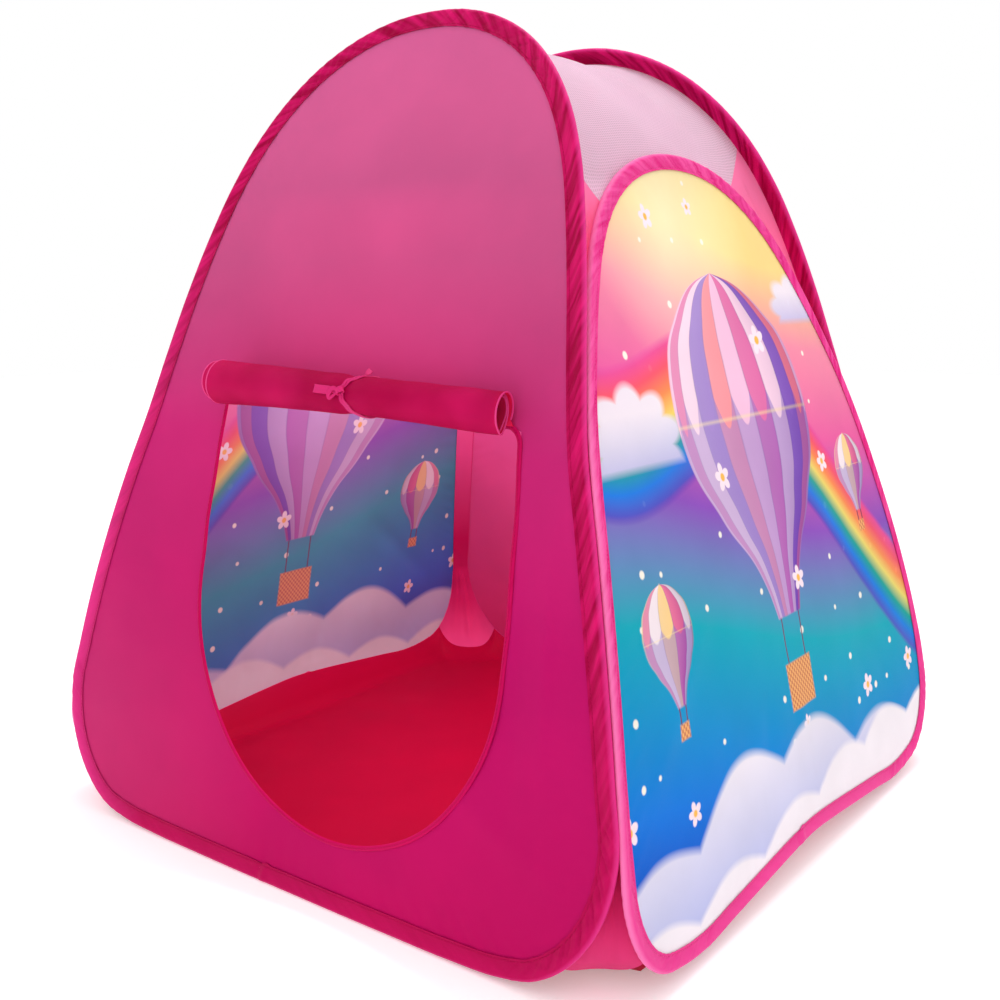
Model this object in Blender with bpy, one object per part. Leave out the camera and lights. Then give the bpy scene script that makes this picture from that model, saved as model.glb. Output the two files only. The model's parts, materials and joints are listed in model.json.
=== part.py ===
"""Pop-up play tent: four sprung wire loops in fabric sleeves, four walls, a mesh roof and a floor.

Metres, +Z up. The front with the door faces -Y and the two side walls face -X and +X. The origin is on the
ground under the middle of the tent. Every wall is drawn as if it were the front, then turned about Z.
"""
import math

import bmesh
import bpy
import numpy as np
from mathutils import Matrix, Vector

# Driving sizes of the four loops
HEIGHT = 0.90
HALF_WIDTH = 0.389
HALF_DEPTH = 0.369
SIDE_HEIGHT = 0.749
SIDE_LIFT = 0.031
FRONT_FOOT = 0.3865
SIDE_FOOT = 0.405

# Driving sizes of the wire, the cloth and their fits
WIRE_RADIUS = 0.0011
FERRULE_WALL = 0.0005
FERRULE_LENGTH = 0.024
CLOTH = 0.0008
END_SLEEVE_WIDTH = 0.016
SIDE_SLEEVE_WIDTH = 0.0135
CLEARANCE = 0.0003
LOOSE_FIT = 0.00045
SEAM_GAP = 0.0009
GUSSET_SLOPE = 0.06
GUSSET_SAG_SHARE = 0.07
HINGE_OUTSIDE = 0.010
HINGE_INSIDE = 0.012

# Driving sizes of the door, its flap and the ribbon that ties the flap up
DOOR_LEFT = -0.174
DOOR_RIGHT = 0.252
DOOR_LOWEST = 0.057
DOOR_TOP = 0.482
DOOR_FOOT = 0.068
DOOR_CORNER_PULL = 0.0185
PIPING_RADIUS = 0.0026
FLAP_LENGTH = 0.390
FLAP_OFFSET = 0.030
ROLL_RADIUS = 0.0205
ROLL_PITCH = 0.0038
SEAM_DROP = 0.0205
SEAM_TILT = 0.027
TIE_OFFSET = 0.040
TIE_WIDTH = 0.009
KNOT_RADIUS = 0.0065
TAIL_LENGTH = 0.039

# Heights and places as shares of the loops, each chosen by eye
FRONT_LEAN_SHARES = (1.0, -0.21, -0.47, 0.03)
SIDE_LEAN_SHARES = (1.0, -0.11, -0.84, 0.36)
FRONT_ARCH_SHARES = ((0.0, 1.0), (0.193, 0.989), (0.373, 0.952), (0.517, 0.892), (0.617, 0.815), (0.685, 0.725),
                     (0.752, 0.600))
SIDE_ARCH_SHARES = ((0.0, 1.0), (0.163, 0.992), (0.317, 0.967), (0.455, 0.923), (0.566, 0.864), (0.648, 0.797),
                    (0.713, 0.732))
RIDGE_SHARES = (0.53, 0.45, 0.37, 0.29, 0.21, 0.16)
HINGE_TOP_SHARE = 0.522
FRONT_CORNER_SHARES = ((0.982, 0.109), (0.910, 0.051), (0.794, 0.014), (0.62, 0.0037), (0.3, 0.0005))
SIDE_CORNER_SHARES = ((0.989, 0.100), (0.902, 0.040), (0.742, 0.017), (0.50, 0.022), (0.25, 0.033))
TOP_GUSSET_FOOT_SHARE = 0.535
TOP_GUSSET_SHARES = {"front": (0.841, 0.770), "back": (0.865, 0.800)}
LOW_GUSSET_TOP_SHARE = 0.155
LOW_GUSSET_FOOT_SHARE = 0.036
LOW_GUSSET_SIDE_FOOT_SHARE = 0.041
WALL_RING_SHARES = (0.72, 0.38)
DOOR_RING_SHARES = (0.5,)
DOOR_WIDEST_SHARES = (0.476, 0.594)
FLOOR_RING_SHARES = (0.86, 0.5)
ROLL_TAPER_SHARE = 0.30
ROLL_TURNS = 2.25
FULL_ROUND_SHARE = 0.5
TIE_OPEN_ANGLE = math.radians(52)
SEAM_WRAP_ANGLE = math.radians(48)
TAIL_SAG = math.radians(20)
KNOT_FLAT_SHARE = 0.6
KNOT_FACET_SHARE = 0.87
SHORT_TAIL_SHARE = 0.35
SIDE_PULL_POWER = 4

# How finely the loops and sheets are faceted, and how slopes are measured
STATIONS = 48
BEND_LENGTH_SHARE = 0.125
NUDGE_SHARE = 0.0005
SLOPE_STEP_SHARE = 0.001
WIRE_SIDES = 5
FERRULE_SIDES = 8
PIPING_SIDES = 6
FLOOR_SIDE_POINTS = 9
ROLL_STEPS = 14
TIE_STEPS = 15
TAIL_STEPS = 5
ROOF_STEPS = (12, 8)
GUSSET_STEPS = 5
FINE = 24

COLOURS = {
    "wire": ((0.62, 0.62, 0.64), 0.35, 1.0),
    "ferrule": ((0.70, 0.70, 0.71), 0.40, 1.0),
    "sleeve_front": ((0.62, 0.006, 0.10), 0.65, 0.0),
    "sleeve_side": ((0.86, 0.08, 0.38), 0.60, 0.0),
    "front_panel": ((0.66, 0.02, 0.18), 0.70, 0.0),
    "back_panel": ((0.66, 0.02, 0.18), 0.70, 0.0),
    "side_panel": ((0.03, 0.32, 0.55), 0.65, 0.0),
    "roof_mesh": ((0.80, 0.55, 0.66), 0.80, 0.0),
    "gusset": ((0.78, 0.06, 0.28), 0.70, 0.0),
    "floor": ((0.45, 0.003, 0.05), 0.60, 0.0),
    "piping": ((0.50, 0.004, 0.07), 0.60, 0.0),
    "flap": ((0.60, 0.01, 0.10), 0.70, 0.0),
    "tie": ((0.70, 0.03, 0.16), 0.65, 0.0),
}

# Sizes of the sleeve's fold, worked out from what it holds
FERRULE_BORE = WIRE_RADIUS + CLEARANCE
FERRULE_RADIUS = FERRULE_BORE + FERRULE_WALL
FOLD_INNER = (FERRULE_RADIUS + CLEARANCE) * math.sqrt(2)
FOLD_OUTER = FOLD_INNER + CLOTH * math.sqrt(2)
LIP_INNER = CLOTH / 2 + LOOSE_FIT
LIP_OUTER = LIP_INNER + CLOTH
PANEL_EDGE = FOLD_INNER + CLEARANCE
SEAM_BACKING = LIP_OUTER + CLEARANCE + CLOTH / 2

WALLS = {"front": 0, "right": 1, "back": 2, "left": 3}


def clear_scene():
    """Remove every object that the file opens with."""
    for item in list(bpy.data.objects):
        bpy.data.objects.remove(item)


def material(name):
    """A Principled material in the named colour, made once."""
    if name in bpy.data.materials:
        return bpy.data.materials[name]
    colour, roughness, metallic = COLOURS[name]
    made = bpy.data.materials.new(name)
    made.use_nodes = True
    shader = made.node_tree.nodes["Principled BSDF"]
    shader.inputs["Base Color"].default_value = (*colour, 1.0)
    shader.inputs["Roughness"].default_value = roughness
    shader.inputs["Metallic"].default_value = metallic
    return made


def add_object(name, verts, faces, look, body, bodies):
    """A named object from world points, its origin on the hinge of the body that carries it."""
    hinge = bodies[body]
    mesh = bpy.data.meshes.new(name)
    mesh.from_pydata([Vector(point) - hinge["place"] for point in verts], [], faces)
    work = bmesh.new()
    work.from_mesh(mesh)
    bmesh.ops.recalc_face_normals(work, faces=work.faces)
    work.to_mesh(mesh)
    work.free()
    mesh.materials.append(material(look))
    made = bpy.data.objects.new(name, mesh)
    bpy.context.collection.objects.link(made)
    if hinge["empty"] is None:
        made.location = hinge["place"]
    made.parent = hinge["empty"]
    return made


def thicken(item, thickness=CLOTH):
    """Give a surface the thickness of cloth, half to each side."""
    solid = item.modifiers.new("Cloth", "SOLIDIFY")
    solid.thickness = thickness
    solid.offset = 0.0
    solid.use_even_offset = False
    return item


def lean(height, foot, shares):
    """Distance of a wall from the middle of the tent at a height."""
    h = height / HEIGHT
    return foot * sum(share * h**power for power, share in enumerate(shares))


def front_wall(height):
    """Distance of the front and back walls at a height."""
    return lean(height, FRONT_FOOT, FRONT_LEAN_SHARES)


def side_wall(height):
    """Distance of the side walls at a height."""
    return lean(height, SIDE_FOOT, SIDE_LEAN_SHARES)


def smooth_closed(points):
    """A smooth closed curve through the points, FINE steps from each to the next."""
    points = np.array(points)
    after = np.roll(points, -1, axis=0)
    before = np.roll(points, 1, axis=0)
    ahead = np.linalg.norm(after - points, axis=1)[:, None]
    behind = np.roll(ahead, 1, axis=0)
    slope = ((after - points) / ahead * behind + (points - before) / behind * ahead) / (ahead + behind)
    curve = []
    for i in range(len(points)):
        j = (i + 1) % len(points)
        for t in np.arange(FINE) / FINE:
            h00 = 2 * t**3 - 3 * t**2 + 1
            h10 = t**3 - 2 * t**2 + t
            start = h00 * points[i] + h10 * ahead[i] * slope[i]
            curve.append(start + (1 - h00) * points[j] + (t**3 - t**2) * ahead[i] * slope[j])
    return np.array(curve)


class Loop:
    """One wire loop on its wall, drawn as if the wall were the front, then turned to its place."""

    def __init__(self, name):
        self.name = name
        self.turn = Matrix.Rotation(WALLS[name] * math.pi / 2, 3, "Z")
        self.end_wall = name in ("front", "back")
        self.wall = front_wall if self.end_wall else side_wall
        self.sleeve = END_SLEEVE_WIDTH if self.end_wall else SIDE_SLEEVE_WIDTH
        self.seam_line = (self.sleeve, -SEAM_BACKING)
        reach = self.sleeve + 2 * CLOTH
        self.gusset_lines = {
            "top": (reach, reach * GUSSET_SLOPE - FOLD_OUTER - CLOTH / 2),
            "low": (reach, -SEAM_BACKING - CLOTH / 2),
        }
        self.roof_line = self.seam_line if self.end_wall else (reach, -FOLD_OUTER - CLOTH / 2 - CLEARANCE)
        neighbour = side_wall if self.end_wall else front_wall
        half, height = (HALF_WIDTH, HEIGHT) if self.end_wall else (HALF_DEPTH, SIDE_HEIGHT)
        arch = FRONT_ARCH_SHARES if self.end_wall else SIDE_ARCH_SHARES
        corner = FRONT_CORNER_SHARES if self.end_wall else SIDE_CORNER_SHARES
        foot = 0.0 if self.end_wall else SIDE_LIFT
        points = [(half * x, height * z) for x, z in arch]
        points += [(neighbour(HEIGHT * z) - SEAM_GAP, HEIGHT * z) for z in RIDGE_SHARES]
        points += [(half * x, height * z) for x, z in corner]
        mirrored = [(-x, z) for x, z in reversed(points[1:])]
        self.curve = smooth_closed(points + [(0.0, foot)] + mirrored)
        step = np.linalg.norm(np.roll(self.curve, -1, axis=0) - self.curve, axis=1)
        self.length = float(step.sum())
        self.along = np.concatenate([[0.0], np.cumsum(step)])
        self.closed = np.vstack([self.curve, self.curve[:1]])
        self.stations = self.spaced()

    def flat(self, distance):
        """The outline's own point, at a distance from the crown along the loop."""
        distance = distance % self.length
        return np.array([np.interp(distance, self.along, self.closed[:, k]) for k in (0, 1)])

    def spaced(self):
        """Distances of the stations, closer together where the loop bends more."""
        run = np.diff(self.closed, axis=0)
        heading = np.unwrap(np.arctan2(run[:, 1], run[:, 0]))
        bend = np.abs(np.diff(np.concatenate([heading, heading[:1] - 2 * math.pi])))
        weight = np.diff(self.along) + bend * HEIGHT * BEND_LENGTH_SHARE
        total = np.concatenate([[0.0], np.cumsum(weight)])
        return np.interp(np.arange(STATIONS) / STATIONS * total[-1], total, self.along)

    def at_height(self, height):
        """Distance from the crown down the loop's first side to a height above its lowest bend."""
        widest = int(np.argmax(self.curve[:, 0]))
        low = int(np.argmin(self.curve[:len(self.curve) // 2, 1]))
        last = max(widest, low)
        return float(np.interp(-height, -self.curve[:last, 1], self.along[:last]))

    def frame(self, distance):
        """Outline point, way along, way into the wall and way out of the tent, on the front."""
        nudge = self.length * NUDGE_SHARE
        place = self.lift(self.flat(distance))
        run = (self.lift(self.flat(distance + nudge)) - self.lift(self.flat(distance - nudge))).normalized()
        out = self.outward(place.z)
        inward = run.cross(out).normalized()
        return place, run, inward, out

    def outward(self, height):
        """Way out of the tent at a height on this wall, on the front."""
        step = HEIGHT * SLOPE_STEP_SHARE
        slope = (self.wall(height + step) - self.wall(height - step)) / (2 * step)
        return Vector((0.0, -1.0, -slope)).normalized()

    def lift(self, flat):
        """A point of the wall from its place across and its height, on the front."""
        return Vector((flat[0], -self.wall(flat[1]), flat[1]))

    def place(self, distance, inward=0.0, outward=0.0):
        """A world point, inward from the fold's middle and out of the tent by the given amounts."""
        point, _, into, out = self.frame(distance)
        return self.turn @ (point + into * (FOLD_OUTER + inward) + out * outward)


def ring_faces(rings, count, closed=True):
    """Quads between rows of points that follow each other."""
    faces = []
    steps = count if closed else count - 1
    for row in range(rings - 1):
        for i in range(steps):
            j = (i + 1) % count
            faces.append((row * count + i, row * count + j, (row + 1) * count + j, (row + 1) * count + i))
    return faces


def sweep(name, frames, profile, look, body, bodies, closed=True):
    """A solid with a fixed profile along frames of (point, first axis, second axis)."""
    verts = [point + u * first + v * second for point, first, second in frames for u, v in profile]
    count = len(profile)
    rows = len(frames)
    faces = []
    for i in range(rows if closed else rows - 1):
        here = i * count
        there = (i + 1) % rows * count
        for k in range(count):
            m = (k + 1) % count
            faces.append((here + k, here + m, there + m, there + k))
    if not closed:
        faces.append(tuple(range(count)))
        faces.append(tuple(range((rows - 1) * count, rows * count)))
    return add_object(name, verts, faces, look, body, bodies)


def circle(radius, sides):
    """Points of a round profile."""
    turns = [2 * math.pi * k / sides for k in range(sides)]
    return [(radius * math.cos(turn), radius * math.sin(turn)) for turn in turns]


def fold_frames(loop, stations):
    """Frames on the middle of a sleeve's fold: point, way into the wall, way out of the tent."""
    frames = []
    for distance in stations:
        _, _, into, out = loop.frame(distance)
        frames.append((loop.place(distance), loop.turn @ into, loop.turn @ out))
    return frames


def build_sleeve(loop, bodies):
    """The folded strip of cloth round a loop's wire, open towards the wall that it holds."""
    profile = [(loop.sleeve, LIP_OUTER), (0.0, FOLD_OUTER), (-FOLD_OUTER, 0.0), (0.0, -FOLD_OUTER),
               (loop.sleeve, -LIP_OUTER), (loop.sleeve, -LIP_INNER), (0.0, -FOLD_INNER), (-FOLD_INNER, 0.0),
               (0.0, FOLD_INNER), (loop.sleeve, LIP_INNER)]
    look = "sleeve_front" if loop.end_wall else "sleeve_side"
    sweep(f"{loop.name}_sleeve", fold_frames(loop, loop.stations), profile, look, loop.name, bodies)


def build_wire(loop, bodies):
    """The sprung steel wire, and the ferrule that joins its ends in the middle of the foot."""
    frames = fold_frames(loop, loop.stations)
    sweep(f"{loop.name}_wire", frames, circle(WIRE_RADIUS, WIRE_SIDES), "wire", loop.name, bodies)
    middle = int(np.argmin(np.abs(loop.stations - loop.length / 2)))
    before, after = loop.place(loop.stations[middle]), loop.place(loop.stations[middle + 1])
    centre = (before + after) / 2
    along = (after - before).normalized()
    out = loop.turn @ Vector((0.0, -1.0, 0.0))
    up = along.cross(out).normalized()
    out = up.cross(along).normalized()
    sides, half = FERRULE_SIDES, FERRULE_LENGTH / 2
    bore_radius = FERRULE_BORE / math.cos(math.pi / sides)
    rings = []
    for end, radius in ((-half, FERRULE_RADIUS), (half, FERRULE_RADIUS), (half, bore_radius), (-half, bore_radius)):
        rings += [centre + along * end + out * x + up * y for x, y in circle(radius, sides)]
    faces = ring_faces(4, sides)
    faces += [(3 * sides + k, 3 * sides + (k + 1) % sides, (k + 1) % sides, k) for k in range(sides)]
    add_object(f"{loop.name}_ferrule", rings, faces, "ferrule", loop.name, bodies)


def sleeve_rows(loop):
    """The two outer rows of a wall's cloth: its edge inside the sleeve, and where it leaves the sleeve."""
    edge = [loop.place(distance, PANEL_EDGE) for distance in loop.stations]
    free = [loop.place(distance, loop.sleeve + CLOTH) for distance in loop.stations]
    return edge, free


def unturned(loop, point):
    """A world point's place across and its height, as drawn on the front."""
    local = loop.turn.transposed() @ point
    return np.array([local.x, local.z])


def build_plain_wall(loop, look, bodies):
    """A wall without an opening, in rings from its sleeve to its middle."""
    edge, free = sleeve_rows(loop)
    flat = [unturned(loop, point) for point in free]
    middle = np.mean(flat, axis=0)
    verts = edge + free
    for share in WALL_RING_SHARES:
        verts += [loop.turn @ loop.lift(middle + (point - middle) * share) for point in flat]
    verts.append(loop.turn @ loop.lift(middle))
    rings = len(WALL_RING_SHARES) + 2
    faces = ring_faces(rings, STATIONS)
    last = (rings - 1) * STATIONS
    faces += [(last + i, last + (i + 1) % STATIONS, rings * STATIONS) for i in range(STATIONS)]
    thicken(add_object(f"{loop.name}_panel", verts, faces, look, loop.name, bodies))


def door_top(loop, across):
    """Height of the door's top edge at a place across the wall: it drops towards the right as the seam does."""
    _, along, _, _ = flap_frame(loop)
    return DOOR_TOP + (across - FLAP_OFFSET) * along.z / along.x


def door_outline(loop):
    """The door's edge, flat: straight across the top, its sides rounding into the foot, each at its own height."""
    tall = DOOR_TOP - DOOR_FOOT
    right_widest, left_widest = (DOOR_FOOT + tall * share for share in DOOR_WIDEST_SHARES)
    points = []
    for turn in np.linspace(0, math.pi, 4 * FINE + 1):
        right_half = turn < math.pi / 2
        reach = DOOR_RIGHT - DOOR_LOWEST if right_half else DOOR_LOWEST - DOOR_LEFT
        widest = right_widest if right_half else left_widest
        points.append((DOOR_LOWEST + reach * math.cos(turn), widest - (widest - DOOR_FOOT) * math.sin(turn)))
    steps = np.arange(1, FINE + 1) / FINE
    right_corner = DOOR_RIGHT - DOOR_CORNER_PULL
    left_rise = door_top(loop, DOOR_LEFT) - left_widest
    right_rise = door_top(loop, right_corner) - right_widest
    left = [(DOOR_LEFT, left_widest + left_rise * t) for t in steps]
    right = [(DOOR_RIGHT - DOOR_CORNER_PULL * t**2, right_widest + right_rise * t) for t in steps]
    top = [(x, door_top(loop, x)) for x in np.linspace(DOOR_LEFT, right_corner, FINE)[1:-1]]
    return np.array(points + left + top + right[::-1])


def outline_towards(outline, middle, flat):
    """Where the line from a point to the middle crosses a closed outline."""
    angles = np.unwrap(np.arctan2(*(outline - middle).T[::-1]))
    reach = np.linalg.norm(outline - middle, axis=1)
    wanted = math.atan2(flat[1] - middle[1], flat[0] - middle[0])
    order = np.argsort(angles % (2 * math.pi))
    radius = np.interp(wanted % (2 * math.pi), (angles % (2 * math.pi))[order], reach[order], period=2 * math.pi)
    return middle + radius * np.array([math.cos(wanted), math.sin(wanted)])


def build_front_wall(loop, bodies):
    """The front wall, from its sleeve to the door's edge."""
    edge, free = sleeve_rows(loop)
    flat = [unturned(loop, point) for point in free]
    middle = np.array([(DOOR_LEFT + DOOR_RIGHT) / 2, (DOOR_TOP + DOOR_FOOT) / 2])
    outline = door_outline(loop)
    hole = [outline_towards(outline, middle, point) for point in flat]
    verts = edge + free
    for share in DOOR_RING_SHARES:
        verts += [loop.lift(door + (point - door) * share) for point, door in zip(flat, hole)]
    verts += [loop.lift(door) for door in hole]
    faces = ring_faces(len(DOOR_RING_SHARES) + 3, STATIONS)
    thicken(add_object("front_panel", verts, faces, "front_panel", loop.name, bodies))
    build_piping(loop, hole, middle, bodies)


def build_piping(loop, hole, middle, bodies):
    """The thin round edging inside the door's edge, from one end of the roll round to the other."""
    kept = [point for point in hole if point[1] < door_top(loop, point[0]) - PIPING_RADIUS]
    kept.sort(key=lambda point: math.atan2(point[0] - middle[0], middle[1] - point[1]))
    frames = []
    for i, flat in enumerate(kept):
        before = loop.lift(kept[max(i - 1, 0)])
        after = loop.lift(kept[min(i + 1, len(kept) - 1)])
        run = (after - before).normalized()
        out = loop.outward(flat[1])
        into = run.cross(out).normalized()
        if into.dot(loop.lift(middle) - loop.lift(flat)) < 0:
            into = -into
        frames.append((loop.lift(flat) + into * (PIPING_RADIUS + CLEARANCE), into, out))
    sweep("door_piping", frames, circle(PIPING_RADIUS, PIPING_SIDES), "piping", loop.name, bodies, closed=False)


def build_roof(loops, bodies):
    """The mesh roof: taut from the front arch to the back one, drawn down to the side arches near them."""
    across, deep = ROOF_STEPS
    end_tops = [loops[end].at_height(HEIGHT * TOP_GUSSET_SHARES[end][0]) for end in ("front", "back")]
    side_tops = [loops["right"].at_height(HEIGHT * TOP_GUSSET_SHARES[end][1]) for end in ("front", "back")]

    def arch(name, distances):
        return [loops[name].place(distance, *loops[name].roof_line) for distance in distances]

    front_edge = arch("front", np.linspace(-end_tops[0], end_tops[0], across + 1))
    back_edge = arch("back", np.linspace(end_tops[1], -end_tops[1], across + 1))
    side_run = np.linspace(-side_tops[0], side_tops[1], deep - 1)
    right_edge = [front_edge[-1]] + arch("right", side_run) + [back_edge[-1]]
    left_edge = [front_edge[0]] + arch("left", -side_run) + [back_edge[0]]
    verts = []
    for j in range(deep + 1):
        t = j / deep
        for i in range(across + 1):
            s = i / across
            point = front_edge[i] * (1 - t) + back_edge[i] * t
            left_pull = left_edge[j] - front_edge[0] * (1 - t) - back_edge[0] * t
            right_pull = right_edge[j] - front_edge[-1] * (1 - t) - back_edge[-1] * t
            point += left_pull * (1 - s)**SIDE_PULL_POWER + right_pull * s**SIDE_PULL_POWER
            verts.append(point)
    faces = ring_faces(deep + 1, across + 1, closed=False)
    thicken(add_object("roof_mesh", verts, faces, "roof_mesh", "right", bodies))


def corner_sides(end, side):
    """Which way each of two loops runs from its crown to the corner that they share."""
    clockwise = (WALLS[side] - WALLS[end]) % 4 == 1
    return (1, -1) if clockwise else (-1, 1)


def short_of_end(span):
    """Even steps along a stretch of loop, the last one just short of the sheet that it meets."""
    start, end = span
    return np.linspace(start, end - math.copysign(CLOTH + CLEARANCE, end - start), GUSSET_STEPS + 1)


def build_gussets(loops, bodies):
    """The cloth between the loops at each corner: one piece over the seam and one under it."""
    for end in ("front", "back"):
        for side in ("right", "left"):
            first, second = loops[end], loops[side]
            way, other = corner_sides(end, side)
            foot = HEIGHT * TOP_GUSSET_FOOT_SHARE
            end_share, side_share = TOP_GUSSET_SHARES[end]
            spans = {
                "top": (
                    (first.at_height(foot), first.at_height(HEIGHT * end_share)),
                    (second.at_height(foot), second.at_height(HEIGHT * side_share)),
                ),
                "low": (
                    (first.at_height(HEIGHT * LOW_GUSSET_TOP_SHARE), first.at_height(HEIGHT * LOW_GUSSET_FOOT_SHARE)),
                    (second.at_height(HEIGHT * LOW_GUSSET_TOP_SHARE),
                     second.at_height(HEIGHT * LOW_GUSSET_SIDE_FOOT_SHARE)),
                ),
            }
            for level, spans_here in spans.items():
                run, cross_run = (short_of_end(span) for span in spans_here)
                sag = GUSSET_SAG_SHARE if level == "top" else 0.0
                verts = []
                for here_at, there_at in zip(run, cross_run):
                    here = first.place(way * here_at, *first.gusset_lines[level])
                    there = second.place(other * there_at, *second.gusset_lines[level])
                    outward = first.turn @ first.frame(way * here_at)[3]
                    outward += second.turn @ second.frame(other * there_at)[3]
                    dip = outward.normalized() * (here - there).length * sag
                    verts += [here, (here + there) / 2 - dip, there]
                faces = ring_faces(GUSSET_STEPS + 1, 3, closed=False)
                thicken(add_object(f"{end}_{side}_{level}_gusset", verts, faces, "gusset", "right", bodies))


def build_floor(loops, bodies):
    """The groundsheet: flat on the ground, its edges drawn up to the feet of the four loops."""
    edge = []
    for name in ("front", "right", "back", "left"):
        loop = loops[name]
        share = LOW_GUSSET_FOOT_SHARE if loop.end_wall else LOW_GUSSET_SIDE_FOOT_SHARE
        corner = loop.at_height(HEIGHT * share)
        for distance in np.linspace(loop.length - corner, corner, FLOOR_SIDE_POINTS):
            edge.append(loop.place(distance, *loop.seam_line))
    count = len(edge)
    flat = CLOTH / 2
    verts = list(edge)
    for share in FLOOR_RING_SHARES:
        verts += [Vector((point.x * share, point.y * share, flat)) for point in edge]
    verts.append(Vector((0.0, 0.0, flat)))
    rings = len(FLOOR_RING_SHARES) + 1
    faces = ring_faces(rings, count)
    last = (rings - 1) * count
    faces += [(last + i, last + (i + 1) % count, rings * count) for i in range(count)]
    thicken(add_object("floor", verts, faces, "floor", "right", bodies))


def flap_frame(loop):
    """The seam's middle on the outside of the front wall, with the ways along the seam, out and up the wall."""
    seam = loop.lift((FLAP_OFFSET, DOOR_TOP))
    out = loop.outward(DOOR_TOP)
    level = Vector((1.0, 0.0, 0.0))
    along = (level + level.cross(out) * SEAM_TILT).normalized()
    up = out.cross(along)
    return seam + out * (CLOTH + CLEARANCE), along, out, up


def roll_scale(place):
    """How thick the rolled flap is at a place along the width, against its thickness at the ribbon."""
    return 1.0 - ROLL_TAPER_SHARE * (place - TIE_OFFSET) / FLAP_LENGTH


def roll_centre(loop, scale=1.0):
    """The middle of the rolled flap where its radius is scaled, clear of the wall by the ribbon behind it."""
    seam, _, out, up = flap_frame(loop)
    return seam + out * (ROLL_RADIUS * scale + CLOTH + 2 * CLEARANCE) + up * SEAM_DROP


def build_flap(loop, bodies):
    """The door's flap, rolled up, thicker on the left: a strip from its seam over the top that winds inwards."""
    seam, across, out, up = flap_frame(loop)
    centre = roll_centre(loop)
    steps = ROLL_STEPS
    start = math.atan2((seam - centre).dot(up), (seam - centre).dot(out)) + SEAM_WRAP_ANGLE
    leader = [seam, (seam * 2 + centre - out * ROLL_RADIUS) / 3]
    roll = []
    for k in range(int(ROLL_TURNS * steps) + 1):
        turn = start - 2 * math.pi * k / steps
        radius = ROLL_RADIUS - CLOTH / 2 - ROLL_PITCH * max(0.0, k / steps - FULL_ROUND_SHARE)
        roll.append((out * math.cos(turn) + up * math.sin(turn)) * radius)
    verts = []
    line = leader + roll
    for end in (-FLAP_LENGTH / 2, FLAP_LENGTH / 2):
        scale = roll_scale(FLAP_OFFSET + end)
        verts += [point + across * end for point in leader]
        verts += [roll_centre(loop, scale) + across * end + point * scale for point in roll]
    faces = ring_faces(2, len(line), closed=False)
    thicken(add_object("door_flap", verts, faces, "flap", "flap", bodies))


def build_ties(loop, bodies):
    """The ribbon round the roll, open where the flap's cloth leaves it, with its knot and tails."""
    seam, across, out, up = flap_frame(loop)
    centre = roll_centre(loop)
    middle = centre + across * (TIE_OFFSET - FLAP_OFFSET)
    radius = ROLL_RADIUS + LOOSE_FIT + CLOTH / 2
    towards = math.atan2((seam - centre).dot(up), (seam - centre).dot(out))
    ring = []
    for turn in np.linspace(towards + TIE_OPEN_ANGLE, towards + 2 * math.pi - TIE_OPEN_ANGLE, TIE_STEPS):
        ray = out * math.cos(turn) + up * math.sin(turn)
        ring.append((middle + ray * radius, across, ray))
    strip = [(TIE_WIDTH / 2, CLOTH / 2), (-TIE_WIDTH / 2, CLOTH / 2), (-TIE_WIDTH / 2, -CLOTH / 2),
             (TIE_WIDTH / 2, -CLOTH / 2)]
    sweep("flap_tie_band", ring, strip, "tie", "flap", bodies, closed=False)

    knot_depth = KNOT_RADIUS * KNOT_FLAT_SHARE * KNOT_FACET_SHARE
    knot_place = middle + out * (radius + CLOTH / 2 + CLEARANCE + knot_depth)
    work = bmesh.new()
    bmesh.ops.create_icosphere(work, subdivisions=1, radius=KNOT_RADIUS)
    turned = Matrix((across, out * KNOT_FLAT_SHARE, up)).transposed()
    verts = [knot_place + turned @ vert.co for vert in work.verts]
    faces = [tuple(vert.index for vert in face.verts) for face in work.faces]
    work.free()
    add_object("flap_tie_knot", verts, faces, "tie", "flap", bodies)

    for name, way, length in (("left", -1, TAIL_LENGTH), ("right", 1, TAIL_LENGTH * SHORT_TAIL_SHARE)):
        tail = []
        first = TIE_WIDTH / 2 + CLEARANCE
        for share in np.linspace(0, 1, TAIL_STEPS):
            run = way * (first + share * length)
            sag = TAIL_SAG * share
            ray = out * math.cos(sag) - up * math.sin(sag)
            scale = roll_scale(TIE_OFFSET + run)
            here = roll_centre(loop, scale) + across * (TIE_OFFSET - FLAP_OFFSET + run)
            tail.append((here + ray * radius * scale, up, ray))
        sweep(f"flap_tie_tail_{name}", tail, strip, "tie", "flap", bodies, closed=False)


def hinge_place(x_way, y_way, outward):
    """The middle of a corner's hinge line, moved outward from the walls' shared edge."""
    ends = (HEIGHT * RIDGE_SHARES[-1], HEIGHT * HINGE_TOP_SHARE)
    low, high = (Vector((x_way * (side_wall(z) + outward), y_way * (front_wall(z) + outward), z)) for z in ends)
    return (low + high) / 2


def build_bodies(loops):
    """The empties on the hinges: three corners of the fold, and the seam that the rolled flap hangs from."""
    places = {
        "right": (None, Vector((0.0, 0.0, 0.0))),
        "front": ("right", hinge_place(1, -1, HINGE_OUTSIDE)),
        "back": ("right", hinge_place(1, 1, -HINGE_INSIDE)),
        "left": ("back", hinge_place(-1, 1, HINGE_OUTSIDE)),
        "flap": ("front", flap_frame(loops["front"])[0]),
    }
    bodies = {}
    for name, (parent, place) in places.items():
        empty = None
        if parent is not None:
            empty = bpy.data.objects.new(f"{name}_hinge", None)
            empty.empty_display_size = END_SLEEVE_WIDTH
            bpy.context.collection.objects.link(empty)
            carrier = bodies[parent]
            empty.parent = carrier["empty"]
            empty.location = place - (carrier["place"] if carrier["empty"] else Vector())
        bodies[name] = {"place": place, "empty": empty}
    return bodies


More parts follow.
